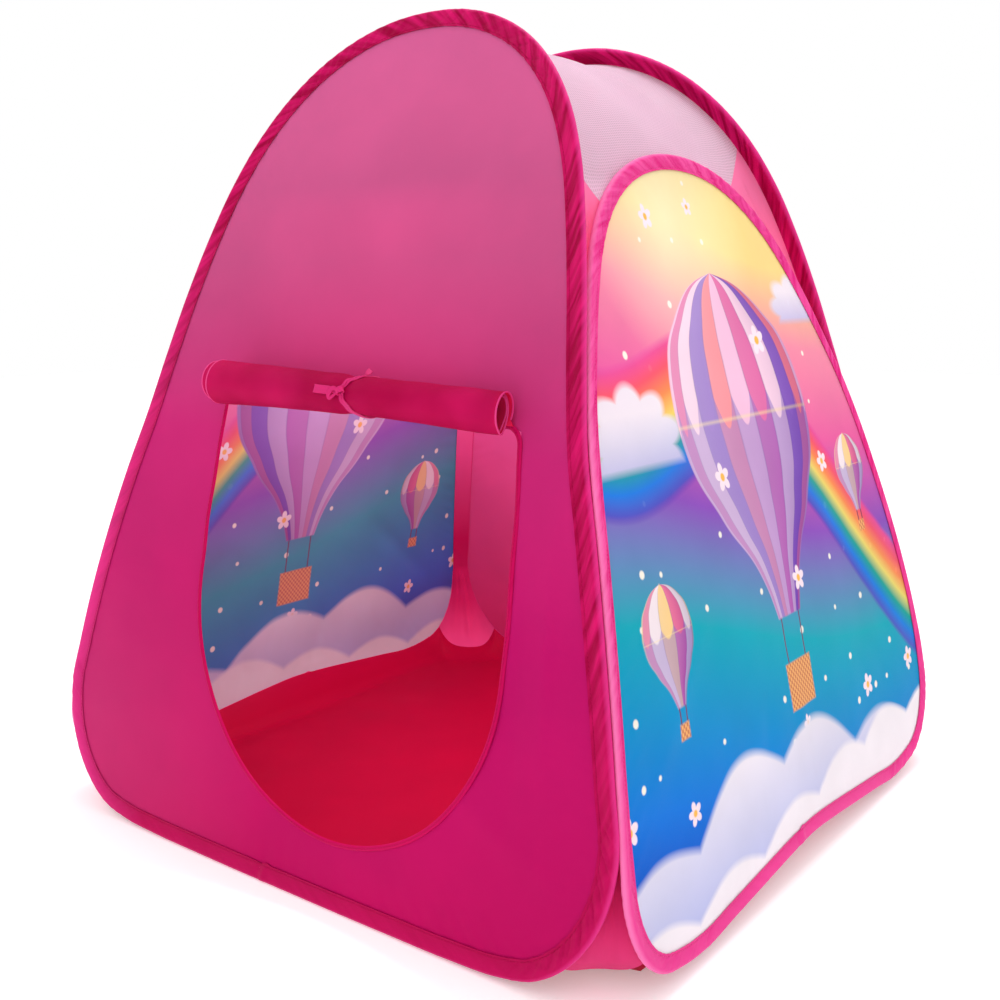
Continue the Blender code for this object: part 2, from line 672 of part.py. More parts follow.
def build_tent():
    """Every piece of the tent."""
    clear_scene()
    loops = {name: Loop(name) for name in WALLS}
    bodies = build_bodies(loops)
    for loop in loops.values():
        build_wire(loop, bodies)
        build_sleeve(loop, bodies)
    build_front_wall(loops["front"], bodies)
    build_plain_wall(loops["back"], "back_panel", bodies)
    for name in ("left", "right"):
        build_plain_wall(loops[name], "side_panel", bodies)
    build_roof(loops, bodies)
    build_gussets(loops, bodies)
    build_floor(loops, bodies)
    build_flap(loops["front"], bodies)
    build_ties(loops["front"], bodies)


build_tent()
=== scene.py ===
# %% [markdown]
# Pop-up play tent.
# Four sprung wire loops in cloth sleeves hold up four walls, a mesh roof and a groundsheet. Everything here
# is cloth except the wires and their ferrules, so this lesson is about sewn sheets: how they follow a loop,
# how they pucker where they are sewn, and how light passes through them.

import json
import math

import bmesh
import bpy
import numpy as np
from mathutils import Matrix, Vector


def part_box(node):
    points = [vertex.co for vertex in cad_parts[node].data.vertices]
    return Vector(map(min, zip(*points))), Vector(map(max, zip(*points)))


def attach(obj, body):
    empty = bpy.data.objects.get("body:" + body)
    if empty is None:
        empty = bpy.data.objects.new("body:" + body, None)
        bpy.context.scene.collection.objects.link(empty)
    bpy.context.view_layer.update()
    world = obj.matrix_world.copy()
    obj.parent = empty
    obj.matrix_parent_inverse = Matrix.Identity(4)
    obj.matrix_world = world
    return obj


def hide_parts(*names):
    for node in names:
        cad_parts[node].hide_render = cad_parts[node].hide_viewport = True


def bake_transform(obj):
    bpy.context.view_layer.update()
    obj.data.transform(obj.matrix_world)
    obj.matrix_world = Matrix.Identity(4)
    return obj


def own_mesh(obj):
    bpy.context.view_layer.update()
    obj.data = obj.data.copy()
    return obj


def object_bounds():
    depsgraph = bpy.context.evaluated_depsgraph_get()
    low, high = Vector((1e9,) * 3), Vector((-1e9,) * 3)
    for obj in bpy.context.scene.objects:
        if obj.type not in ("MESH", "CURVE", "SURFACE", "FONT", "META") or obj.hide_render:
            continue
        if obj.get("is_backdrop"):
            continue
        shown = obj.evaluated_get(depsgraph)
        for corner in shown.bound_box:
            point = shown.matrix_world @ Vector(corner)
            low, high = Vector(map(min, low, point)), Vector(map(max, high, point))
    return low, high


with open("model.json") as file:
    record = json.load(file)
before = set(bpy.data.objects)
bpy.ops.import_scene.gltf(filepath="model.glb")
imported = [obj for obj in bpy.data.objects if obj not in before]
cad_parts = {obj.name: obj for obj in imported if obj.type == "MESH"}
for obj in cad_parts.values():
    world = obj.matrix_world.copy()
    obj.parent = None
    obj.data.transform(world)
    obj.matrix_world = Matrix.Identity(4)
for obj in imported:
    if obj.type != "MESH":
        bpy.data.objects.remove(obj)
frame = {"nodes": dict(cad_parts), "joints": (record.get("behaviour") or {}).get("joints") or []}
cad_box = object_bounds()
print("frame box", [round(x, 3) for corner in cad_box for x in corner])

# %% [markdown]
# The camera comes first. It stands at a child's eye height, about a metre and a half from the middle of the
# tent, a little to the right of the door and looking slightly down, so that the front and the right wall
# both show.

# %% Camera
CAMERA_PLACE = (0.8766, -1.1594, 0.6141)
CAMERA_YAW = 0.6564
CAMERA_DROP = 0.1773
CAMERA_ROLL = -0.0089
CAMERA_LENS = 43.21
SENSOR_WIDTH = 36.0


def link_object(name, data):
    """A new object with this data, in the scene."""
    made = bpy.data.objects.new(name, data)
    bpy.context.scene.collection.objects.link(made)
    return made


def add_camera():
    """The camera, turned left by its yaw, tipped down by its drop and rolled a touch."""
    data = bpy.data.cameras.new("camera")
    data.lens = CAMERA_LENS
    data.sensor_width = SENSOR_WIDTH
    camera = link_object("camera", data)
    level = Matrix.Rotation(CAMERA_YAW, 4, "Z") @ Matrix.Rotation(math.pi / 2 - CAMERA_DROP, 4, "X")
    camera.matrix_world = Matrix.Translation(CAMERA_PLACE) @ level @ Matrix.Rotation(CAMERA_ROLL, 4, "Z")
    bpy.context.scene.camera = camera


add_camera()

# %% [markdown]
# A product photograph has a white sweep and large soft lamps. Cloth this thin glows where light comes
# through it, so one lamp stands above the net roof and a small one hangs inside under it. The Standard view
# keeps strong pinks as strong as they are.

# %% Floor and lights
STAGE_HALF = 7.0
WHITE = (1.0, 1.0, 1.0, 1.0)
STAGE_LOOK = {"Base Color": (0.93, 0.93, 0.935, 1.0), "Roughness": 0.8, "Emission Color": WHITE,
              "Emission Strength": 0.25}
WORLD_LOOK = {"Color": WHITE, "Strength": 1.0}
LAMPS = {
    "key": ((1.2, -2.4, 2.3), (0.0, 0.0, 0.45), 1.8, 10.0),
    "fill": ((-2.4, -1.2, 1.4), (0.0, 0.0, 0.45), 2.0, 6.0),
    "roof": ((0.1, 0.5, 2.3), (0.0, 0.0, 0.3), 1.2, 20.0),
    "lantern": ((0.0, 0.0, 0.72), (0.0, 0.0, 0.0), 0.28, 5.0),
}


def set_inputs(node, values):
    """Give a node's inputs their plain values."""
    for name, value in values.items():
        node.inputs[name].default_value = value


def add_stage():
    """A pale floor that runs on past the camera's view."""
    mesh = bpy.data.meshes.new("stage_floor")
    corners = [(x * STAGE_HALF, y * STAGE_HALF, 0) for x, y in ((-1, -1), (1, -1), (1, 1), (-1, 1))]
    mesh.from_pydata(corners, [], [(0, 1, 2, 3)])
    pale = bpy.data.materials.new("stage_pale")
    pale.use_nodes = True
    set_inputs(pale.node_tree.nodes["Principled BSDF"], STAGE_LOOK)
    mesh.materials.append(pale)
    link_object("stage_floor", mesh)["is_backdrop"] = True


def add_lamp(name, place, aim, size, power):
    """A square soft lamp that faces a point and doesn't show itself."""
    data = bpy.data.lights.new(name, "AREA")
    data.size = size
    data.energy = power
    lamp = link_object(name, data)
    lamp.location = place
    lamp.rotation_euler = (Vector(aim) - Vector(place)).to_track_quat("-Z", "Y").to_euler()
    lamp.visible_camera = False


def add_room():
    """A white room, the lamps in it and a plain view of it."""
    world = bpy.data.worlds.new("studio")
    world.use_nodes = True
    set_inputs(world.node_tree.nodes["Background"], WORLD_LOOK)
    bpy.context.scene.world = world
    for name, lamp in LAMPS.items():
        add_lamp(name, *lamp)
    bpy.context.scene.view_settings.view_transform = "Standard"


add_stage()
add_room()

# %% [markdown]
# Every sheet is sewn to a loop, so the loops are measured first. Each wire in the frame is a tube of rings.
# Sorted by their angle round the wall's middle, its points fall into one small group per ring, and each
# group's mean is a point of the wire's middle line. A smooth curve through those gives as many stations as
# a fine sheet needs.

# %% Measure the four loops
QUARTER_TURNS = {"front": 0, "right": 1, "back": 2, "left": 3}
KINDS = {"front": "end", "right": "side", "back": "end", "left": "side"}
RING_GAP = 0.010
CURVE_STEPS = 24
SAMPLES = 900
LEAN_POWER = 3
SLEEVE_WIDTHS = {"end": 0.0162, "side": 0.0137}
SEAM_MARGIN = 0.0008
BEND_STEPS = 8


def node_points(name):
    """A frame node's corner points, each once."""
    points = np.array([vert.co for vert in frame["nodes"][name].data.vertices])
    return np.unique(np.round(points, 5), axis=0)


def turn_matrix(quarters):
    """The turn about the tent's upright axis that takes the front wall to another wall."""
    angle = quarters * math.pi / 2
    cos, sin = math.cos(angle), math.sin(angle)
    return np.array([[cos, -sin, 0], [sin, cos, 0], [0, 0, 1]])


def unit(vectors):
    """Each vector of an array at length one."""
    return vectors / np.linalg.norm(vectors, axis=-1, keepdims=True)


def distance_along(line):
    """Distance along a line at each of its points."""
    return np.concatenate([[0.0], np.cumsum(np.linalg.norm(np.diff(line, axis=0), axis=1))])


def smooth_closed(points, fine):
    """A smooth closed curve through points, fine steps from each to the next."""
    following = np.roll(points, -1, axis=0)
    ahead = np.linalg.norm(following - points, axis=1)[:, None]
    behind = np.roll(ahead, 1, axis=0)
    forward = (following - points) / ahead
    slope = (forward * behind + np.roll(forward, 1, axis=0) * ahead) / (ahead + behind)
    next_slope = np.roll(slope, -1, axis=0)
    rows = []
    for t in np.arange(fine) / fine:
        h00 = 2 * t**3 - 3 * t**2 + 1
        h10 = t**3 - 2 * t**2 + t
        h11 = t**3 - t**2
        rows.append(h00 * points + h10 * ahead * slope + (1 - h00) * following + h11 * ahead * next_slope)
    return np.stack(rows, axis=1).reshape(-1, points.shape[1])


class Loop:
    """One wire loop and the leaning wall that it edges, drawn as the front wall and turned to its place."""

    def __init__(self, name):
        self.name = name
        self.kind = KINDS[name]
        self.turn = turn_matrix(QUARTER_TURNS[name])
        rings = self.wire_rings()
        self.lean = np.polyfit(rings[:, 2], -rings[:, 1], LEAN_POWER)
        middle = self.lift(smooth_closed(rings[:, (0, 2)], CURVE_STEPS))
        closed = np.vstack([middle, middle[:1]])
        along = distance_along(closed)
        self.length = along[-1]
        self.table = np.arange(SAMPLES + 1) / SAMPLES * self.length
        self.middle = np.stack([np.interp(self.table, along, column) for column in closed.T], axis=1)
        ring = self.middle[:-1]
        run = unit(np.roll(ring, -1, axis=0) - np.roll(ring, 1, axis=0))
        self.out = self.outward(self.middle[:, 2])
        self.into = unit(np.cross(np.vstack([run, run[:1]]), self.out))
        self.sleeve = SLEEVE_WIDTHS[self.kind]
        self.seam = self.sleeve - SEAM_MARGIN
        ahead = unit(np.roll(ring, -BEND_STEPS, axis=0) - ring)
        behind = unit(ring - np.roll(ring, BEND_STEPS, axis=0))
        bend = np.linalg.norm(ahead - behind, axis=1) / (BEND_STEPS * self.length / SAMPLES)
        self.bend = np.append(bend, bend[0])

    def wire_rings(self):
        """Middles of the wire's rings in order round the wall's middle, as on the front."""
        points = node_points(f"{self.name}_wire") @ self.turn
        low, high = points[:, 2].min(), points[:, 2].max()
        angle = np.arctan2(points[:, 0], points[:, 2] - (low + high) / 2)
        angle = (angle + RING_GAP) % (2 * math.pi)
        order = np.argsort(angle)
        cuts = np.flatnonzero(np.diff(angle[order]) > RING_GAP) + 1
        return np.array([group.mean(axis=0) for group in np.split(points[order], cuts)])

    def wall(self, height):
        """Distance of the wall from the tent's middle at a height."""
        return np.polyval(self.lean, height)

    def lift(self, flat):
        """Points of the wall from their place across and their height."""
        return np.stack([flat[..., 0], -self.wall(flat[..., 1]), flat[..., 1]], axis=-1)

    def outward(self, height):
        """Way out of the tent at heights on the wall."""
        slope = np.polyval(np.polyder(self.lean), height)
        return unit(np.stack([np.zeros_like(slope), -np.ones_like(slope), -slope], axis=-1))

    def local(self, distance, inward=0.0, outward=0.0):
        """Points by distance from the crown, inward from the wire and out of the tent, as on the front."""
        wrapped = np.asarray(distance) % self.length
        middle, into, out = (np.stack([np.interp(wrapped, self.table, column) for column in array.T], axis=-1)
                             for array in (self.middle, self.into, self.out))
        return middle + into * np.asarray(inward)[..., None] + out * np.asarray(outward)[..., None]

    def place(self, distance, inward=0.0, outward=0.0):
        """The same points in the tent."""
        return self.local(distance, inward, outward) @ self.turn.T

    def at_height(self, height):
        """Distance from the crown down the loop's first side to a height."""
        side = self.middle[:SAMPLES // 2]
        last = int(np.argmin(side[:, 2]))
        return float(np.interp(-height, -side[:last, 2], self.table[:last]))


loops = {name: Loop(name) for name in QUARTER_TURNS}
for loop in loops.values():
    print(loop.name, round(float(loop.length), 3), "m round, crown", round(float(loop.middle[:, 2].max()), 3))

# %% [markdown]
# A sheet is a grid of points. One helper turns any grid into a mesh with a map in metres, so that a weave
# keeps its scale. A Solidify modifier could give it the thickness of cloth, but where two pieces of one
# sheet meet, its rims show as dark lines. So both faces are made here, from normals that neighbours can
# share, and the thin rim is shaded flat.

# %% Make a sheet of cloth
CLOTH = 0.0006
MEETING_SHARE = 0.08
MAP_NAME = "Cloth"
WAVE_GAIN = 1.6


def grid_corners(rows, columns, wrap=False):
    """Faces of a grid, and each face corner's row and column, which runs on past the last when wrapped."""
    last = columns if wrap else columns - 1
    row, column = np.meshgrid(np.arange(rows - 1), np.arange(last), indexing="ij")
    corner_rows = np.stack([row, row, row + 1, row + 1], axis=-1).reshape(-1, 4)
    corner_columns = np.stack([column, column + 1, column + 1, column], axis=-1).reshape(-1, 4)
    faces = corner_rows * columns + corner_columns % columns
    return faces, corner_rows, corner_columns


def mesh_object(name, points, faces, corner_map, materials):
    """A smooth mesh object from points, faces and a map value for each face corner."""
    mesh = bpy.data.meshes.new(name)
    mesh.from_pydata(np.asarray(points).tolist(), [], [list(face) for face in faces])
    layer = mesh.uv_layers.new(name=MAP_NAME)
    layer.data.foreach_set("uv", np.concatenate([np.asarray(m, float).ravel() for m in corner_map]))
    mesh.polygons.foreach_set("use_smooth", [True] * len(mesh.polygons))
    for item in materials:
        mesh.materials.append(item)
    return link_object(name, mesh)


def point_normals(points, faces):
    """The mean way out of a sheet at each of its points."""
    total = np.zeros_like(points)
    for size in (3, 4):
        group = np.array([face for face in faces if len(face) == size])
        if len(group):
            first, second, third, last = (points[group[:, k]] for k in (0, 1, 2, -1))
            way = np.cross(third - first, last - second)
            for column in range(size):
                np.add.at(total, group[:, column], way)
    return unit(total)


def open_edges(faces):
    """Edges with a face on one side only, each with its face and its place in that face."""
    edges = {}
    for number, face in enumerate(faces):
        for k, start in enumerate(face):
            edges[(start, face[(k + 1) % len(face)])] = (number, k)
    return [(a, b, *found) for (a, b), found in edges.items() if (b, a) not in edges]


def cloth_object(name, points, faces, corner_map, materials, thickness=CLOTH, normals=None):
    """A sheet with both its faces and a flat rim; a second material goes on its inside."""
    points = np.asarray(points, float)
    normals = point_normals(points, faces) if normals is None else normals
    count = len(points)
    half = normals * np.broadcast_to(thickness, count)[:, None] / 2
    outer = [[int(k) for k in face] for face in faces]
    inner = [[k + count for k in reversed(face)] for face in outer]
    places = [np.asarray(place, float) for place in corner_map]
    rim, rim_places = [], []
    for a, b, number, k in open_edges(outer):
        here, there = places[number][k], places[number][(k + 1) % len(outer[number])]
        rim.append([b, a, a + count, b + count])
        rim_places.append(np.array([there, here, here, there]))
    turned = [place[::-1] for place in places]
    made = mesh_object(name, np.vstack([points + half, points - half]), outer + inner + rim,
                       places + turned + rim_places, materials)
    made.data.polygons.foreach_set("use_smooth", [True] * (2 * len(outer)) + [False] * len(rim))
    if len(materials) > 1:
        made.data.polygons.foreach_set("material_index", [0] * len(outer) + [1] * len(outer) + [0] * len(rim))
    share_normals(made.data, normals, len(outer))
    return made


def share_normals(mesh, normals, faces):
    """Shade both faces of a sheet by normals that sheets which meet can share; the rim keeps its own."""
    given = np.vstack([normals, -normals])
    ways = np.zeros((len(mesh.loops), 3))
    corners = np.zeros(len(mesh.loops), int)
    mesh.loops.foreach_get("vertex_index", corners)
    final = mesh.polygons[2 * faces - 1]
    last = final.loop_start + final.loop_total
    ways[:last] = given[corners[:last]]
    mesh.normals_split_custom_set(ways.tolist())


def cloth_area(item):
    """Area of a sheet that has both its faces."""
    return float(sum(face.area for face in item.data.polygons)) / 2


def sheet_from_grid(name, points, across, along, materials, wrap=False):
    """A sheet from a grid of points (rows, columns, 3) with its map: across per row, along per column."""
    faces, corner_rows, corner_columns = grid_corners(*points.shape[:2], wrap)
    corner_map = np.stack([along[corner_columns], across[corner_rows]], axis=-1)
    return cloth_object(name, points.reshape(-1, 3), faces, corner_map, materials)


def soft_waves(x, y, scale, seed, count=7):
    """A smooth uneven field between about -1 and 1, made of plane waves with seeded directions."""
    rng = np.random.default_rng(seed)
    total = np.zeros_like(x)
    for _ in range(count):
        heading = rng.uniform(0, math.pi)
        stretch = rng.uniform(0.7, 1.6) * 2 * math.pi / scale
        phase = rng.uniform(0, 2 * math.pi)
        total += np.sin((x * math.cos(heading) + y * math.sin(heading)) * stretch + phase)
    return total / count * WAVE_GAIN


def smooth_step(low, high, value):
    """0 below low, 1 above high and smooth between."""
    t = np.clip((value - low) / (high - low), 0, 1)
    return t * t * (3 - 2 * t)


def declare(piece, body, node=None):
    """Say which body a piece rides with and, where given, the frame's node that it replaces."""
    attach(piece, body)
    if node:
        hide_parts(node)


print("cloth", CLOTH * 1000, "mm thick")

# %% [markdown]
# The cloth is a thin plain-weave polyester. Its colour is not even: threads vary, the upper front is lit
# through from behind, and folds that have been pressed in a bag leave faint lines. The look is a Principled
# shader for the surface mixed with a Translucent one for the light that passes through, and a weave of two
# crossed waves in the bump. Colours are picked on screen, from 0 to 255, and turned into what the shader
# wants.

# %% Cloth materials
WEAVE_PITCH = 0.0011
THROUGH_SHARE = 0.36
PLEAT_HEIGHT = 0.0030
FRONT_GLOW_ACROSS = (-0.34, -0.04)
FRONT_GLOW_HEIGHT = (0.12, 0.44)
PUCKERED_HEIGHT = (0.12, 0.34)
# Where the sleeves' satin gets painted light and shade: a painted highlight on the tent's left, painted shade
# beside the seam, and a painted highlight along the fold.
PALE_LEFT = (-0.24, -0.36)
SEAM_SHADE = (-0.008, -0.019)
FOLD_HIGHLIGHT = (0.0012, 0.0055)
INNER_FACE = (0.003, 0.005)
INNER_HEIGHT = (0.50, 0.62)


def srgb(*colour):
    """A colour picked as 0 to 255 on screen, as the shader wants it."""
    def linear(value):
        """One channel of it, without the screen's curve."""
        value /= 255
        return value / 12.92 if value <= 0.04045 else ((value + 0.055) / 1.055) ** 2.4
    return (*map(linear, colour), 1.0)


class Value:
    """What a node gives; sums, differences, products and ratios of values are Math nodes."""

    def __init__(self, nodes, socket):
        self.nodes = nodes
        self.socket = socket

    def __add__(self, other):
        return self.nodes.math("ADD", self, other)

    def __sub__(self, other):
        return self.nodes.math("SUBTRACT", self, other)

    def __rsub__(self, other):
        return self.nodes.math("SUBTRACT", other, self)

    def __mul__(self, other):
        return self.nodes.math("MULTIPLY", self, other)

    def __truediv__(self, other):
        return self.nodes.math("DIVIDE", self, other)

    def __abs__(self):
        return self.nodes.math("ABSOLUTE", self)


class Nodes:
    """A small hand for building a material's nodes."""

    def __init__(self, name):
        self.material = bpy.data.materials.new(name)
        self.material.use_nodes = True
        self.tree = self.material.node_tree
        self.shader = self.tree.nodes["Principled BSDF"]
        self.surface = Value(self, self.shader.outputs["BSDF"])

    def feed(self, node, inputs):
        """Give a node's inputs their values: another node's, a colour or a number."""
        for key, value in inputs.items():
            if isinstance(value, Value):
                self.tree.links.new(value.socket, node.inputs[key])
            else:
                node.inputs[key].default_value = srgb(*value) if isinstance(value, tuple) else value

    def add(self, kind, inputs=None, **settings):
        """A node with its settings and its inputs."""
        node = self.tree.nodes.new(kind)
        for key, value in settings.items():
            setattr(node, key, value)
        self.feed(node, inputs or {})
        return node

    def value(self, kind, output, inputs=None, **settings):
        """What one output of a new node gives."""
        return Value(self, self.add(kind, inputs, **settings).outputs[output])

    def math(self, operation, *given):
        """A Math node's result."""
        return self.value("ShaderNodeMath", 0, dict(enumerate(given)), operation=operation)

    def most(self, *given):
        """The greatest of some values."""
        result = given[0]
        for value in given[1:]:
            result = self.math("MAXIMUM", result, value)
        return result

    def line(self, value, slope, start):
        """A value times a slope, and a start."""
        return self.math("MULTIPLY_ADD", value, slope, start)

    def sine(self, value, turns, phase=0.0):
        """Sine of a value times some turns to the metre."""
        return self.math("SINE", self.line(value, turns, phase))

    def mix(self, share, first, second):
        """A colour between two colours."""
        inputs = {"Factor": share, "A": first, "B": second}
        return self.value("ShaderNodeMix", "Result", inputs, data_type="RGBA")

    def ramp(self, value, stops, interpolation="LINEAR"):
        """A colour from a value by a list of (place, colour)."""
        node = self.add("ShaderNodeValToRGB", {"Fac": value})
        node.color_ramp.interpolation = interpolation
        elements = node.color_ramp.elements
        while len(elements) < len(stops):
            elements.new(0.5)
        for element, (place, colour) in zip(elements, stops):
            element.position = place
            element.color = srgb(*colour)
        return Value(self, node.outputs["Color"])

    def span(self, value, low, high, to_low=0.0, to_high=1.0):
        """A value moved from one range to another and held to it."""
        given = (value, low, high, to_low, to_high)
        return self.value("ShaderNodeMapRange", "Result", dict(enumerate(given)))

    def noise(self, vector, scale, detail=3.0):
        """Smooth noise between 0 and 1."""
        return self.value("ShaderNodeTexNoise", "Fac", {"Vector": vector, "Scale": scale, "Detail": detail})

    def cloth_map(self):
        """The sheet's own map, in metres."""
        return self.value("ShaderNodeUVMap", "UV", uv_map=MAP_NAME)

    def place(self):
        """The point's place in the tent."""
        return self.value("ShaderNodeTexCoord", "Object")

    def split(self, vector):
        """A vector's three parts."""
        return [Value(self, part) for part in self.add("ShaderNodeSeparateXYZ", {0: vector}).outputs]

    def weave(self):
        """Height of a plain weave: warp and weft rise in turn."""
        across, along, _ = self.split(self.cloth_map())
        turn = 2 * math.pi / WEAVE_PITCH
        return self.sine(across, turn) * self.sine(along, turn)

    def bump(self, height, strength, distance, under=None):
        """The way out of a bumped surface, over another bump's where there is one."""
        inputs = {"Height": height, "Strength": strength, "Distance": distance}
        if under:
            inputs["Normal"] = under
        return self.value("ShaderNodeBump", "Normal", inputs)

    def cover(self, share, shader):
        """Mix another shader into the surface and show the result."""
        self.surface = self.value("ShaderNodeMixShader", "Shader", {"Fac": share, 1: self.surface, 2: shader})
        self.feed(self.tree.nodes["Material Output"], {"Surface": self.surface})
        return self.material


def finish_cloth(nodes, colour, roughness=0.62, sheen=0.02, through=THROUGH_SHARE, weave_depth=0.12,
                 crush=0.0006, gloss=0.08, pleats=None):
    """The cloth's shaders over a colour: surface, light passing through, weave, wrinkles and pleats."""
    place = nodes.place()
    shade = nodes.span(nodes.noise(place, 9.0, 4.0), 0.35, 0.65, 0.0, 0.06)
    varied = nodes.mix(shade, colour, (0, 0, 0))
    threads = nodes.noise(nodes.cloth_map(), 600.0, 2.0)
    normal = nodes.bump(nodes.weave(), weave_depth, WEAVE_PITCH / 4)
    normal = nodes.bump(nodes.noise(place, 26.0, 5.0), 0.35, crush, normal)
    if pleats:
        normal = nodes.bump(pleats, 0.8, PLEAT_HEIGHT, normal)
    nodes.feed(nodes.shader, {
        "Base Color": varied, "Roughness": nodes.span(threads, 0.3, 0.7, roughness - 0.05, roughness + 0.07),
        "Sheen Weight": sheen, "Sheen Roughness": 0.45, "Specular IOR Level": gloss, "Normal": normal})
    return nodes.cover(through, nodes.value("ShaderNodeBsdfTranslucent", "BSDF", {"Color": varied}))


def wall_pink(name, stops):
    """Plain pink cloth by (height, colour) stops: deeper low down, paler where light comes through it."""
    nodes = Nodes(name)
    return finish_cloth(nodes, nodes.ramp(nodes.split(nodes.place())[2], stops))


def front_cloth():
    """The front wall's cloth: like the other walls', but paler low on its left, where light comes in."""
    nodes = Nodes("front_wall_pink")
    across, _, height = nodes.split(nodes.place())
    glow = nodes.span(across, *FRONT_GLOW_ACROSS, 0.32, 0.0)
    glow = glow * nodes.span(height, *FRONT_GLOW_HEIGHT, 1.0, 0.0)
    return finish_cloth(nodes, nodes.mix(glow, nodes.ramp(height, FRONT_STOPS), (238, 88, 156)))


def sleeve_satin(name, deep, bright, edge, inner):
    """Binding with painted highlights along its fold and on the tent's left, painted shade by its seam, and
    stripes of painted light and shade where it puckers; calm at its foot, paler inside.
    """
    nodes = Nodes(name)
    along, across, _ = nodes.split(nodes.cloth_map())
    side, _, height = nodes.split(nodes.place())
    streak = nodes.value("ShaderNodeCombineXYZ", 0, {0: along + across * 1.6, 1: across * 0.25})
    shine = nodes.noise(streak, 75.0, 2.0)
    puckered = nodes.span(height, *PUCKERED_HEIGHT, 0.12, 1.0)
    # The stripes are painted light and shade of the puckers, laid over their bumps; low down the colour is an
    # even mix of the two.
    striped = nodes.mix(nodes.span(shine, 0.36, 0.64, 0.0, 0.95), deep, bright)
    body = nodes.mix(puckered, nodes.mix(0.5, deep, bright), striped)
    inside = nodes.span(across, *INNER_FACE) * nodes.span(height, *INNER_HEIGHT, 1.0, 0.0)
    # Painted highlight on the tent's left, painted shade beside the seam, painted highlight along the fold,
    # then the paler inside face.
    for share, colour in ((nodes.span(side, *PALE_LEFT, 0.0, 0.70), edge),
                          (nodes.span(across, *SEAM_SHADE, 0.0, 0.35), deep),
                          (nodes.span(abs(across), *FOLD_HIGHLIGHT, 0.7, 0.0), edge),
                          (inside, inner)):
        body = nodes.mix(share, body, colour)
    return finish_cloth(nodes, body, roughness=0.42, sheen=0.0, through=0.12, gloss=0.04,
                        pleats=shine * puckered)


def satin_cloth(name, deep, bright, through=THROUGH_SHARE):
    """Smooth cloth whose colour drifts softly between two pinks."""
    nodes = Nodes(name)
    drift = nodes.span(nodes.noise(nodes.place(), 14.0, 2.0), 0.3, 0.7)
    return finish_cloth(nodes, nodes.mix(drift, deep, bright), through=through, crush=0.0004)


# The walls' pinks by height: their own pink with painted light, paler higher up, where light comes through
# the cloth from behind.
FRONT_STOPS = ((0.02, (206, 4, 104)), (0.30, (206, 14, 116)), (0.46, (212, 42, 130)), (0.64, (206, 88, 146)),
               (0.80, (226, 104, 164)), (0.90, (226, 108, 168)))
BACK_STOPS = ((0.02, (220, 60, 130)), (0.40, (240, 104, 172)), (0.75, (240, 104, 164)))
front_pink = front_cloth()
back_pink = wall_pink("back_wall_pink", BACK_STOPS)
# Each satin gives deep and bright colours for its stripes of painted pucker light and shade, a pale colour
# for its painted highlights, and the colour of its inside face.
satins = {
    "end": sleeve_satin("crimson_satin", (160, 0, 60), (222, 22, 108), (240, 62, 150), (236, 62, 140)),
    "side": sleeve_satin("rose_satin", (228, 40, 130), (250, 90, 168), (252, 136, 194), (246, 84, 160)),
}
print("cloth looks", [look.name for look in (front_pink, back_pink, *satins.values())])

# %% [markdown]
# A sleeve is a strip folded over the wire and sewn down, and it is always a little long for the loop that
# it goes round. The spare length has to go somewhere: it makes slanting puckers between the fold and the
# seam. The profile is a round fold with two lips, and a few slanting waves push the lips in and out.

# %% Sleeves
FOLD_RADIUS = 0.0034
LIP_HALF = 0.0010
LIP_LIFT = 0.0004
ARC_STEPS = 6
SEAM_FROM_LIP = 0.0026
SEAM_GROOVE = 0.0006
GROOVE_WIDTH = 0.0008
SLEEVE_STATIONS = 1260
PUCKER_PITCH = 0.0145
PUCKER_DEPTH = 0.0021
PUCKER_SLANT = 1.5
PUCKER_WANDER = 0.0005
CALM_SHARE = 0.07
TUCK_WIDTH = 0.0045
TUCK_DEPTH = 0.0020
TUCK_WANDER = 0.0016
NARROW_SHARE = 0.40


def sleeve_profile(width):
    """The strip's section from front lip round the fold to back lip: inward, outward and map place."""
    lip = np.concatenate([np.linspace(1.0, 0.74, 6, endpoint=False),
                          np.linspace(0.74, 0.0, 5, endpoint=False)])
    inward = lip * width
    swell = 1 - smooth_step(0.0, 0.66, lip)
    groove = SEAM_GROOVE * np.exp(-((inward - width + SEAM_FROM_LIP) / GROOVE_WIDTH) ** 2)
    outward = LIP_HALF + (FOLD_RADIUS - LIP_HALF) * swell + LIP_LIFT * smooth_step(0.8, 1.0, lip) - groove
    turn = np.linspace(math.pi / 2, 3 * math.pi / 2, ARC_STEPS + 1)
    inward = np.concatenate([inward, FOLD_RADIUS * np.cos(turn), inward[::-1]])
    outward = np.concatenate([outward, FOLD_RADIUS * np.sin(turn), -outward[::-1]])
    across = distance_along(np.stack([inward, outward], axis=1))
    return inward, outward, across - across[-1] / 2


def slanting_puckers(along, across, length, seed):
    """Uneven slanting waves that close on themselves round a loop, between about -1 and 1."""
    rng = np.random.default_rng(seed)
    total = np.zeros(np.broadcast(along, across).shape)
    for share in (1.0, 0.62, 1.55):
        count = round(length / PUCKER_PITCH * share)
        phase = rng.uniform(0, 2 * math.pi)
        swell = 0.6 + 0.4 * np.sin(2 * math.pi * along / length * rng.integers(5, 12) + phase)
        turn = 2 * math.pi * count / length
        total += swell * np.sin(turn * (along + PUCKER_SLANT * np.abs(across)) + phase)
    return total / 2.2


def pucker_strength(loop, along):
    """How much a sleeve puckers at distances round its loop: most where the wire bends."""
    bend = np.interp(along % loop.length, loop.table, loop.bend)
    return CALM_SHARE + (1 - CALM_SHARE) * smooth_step(2.2, 5.2, bend)


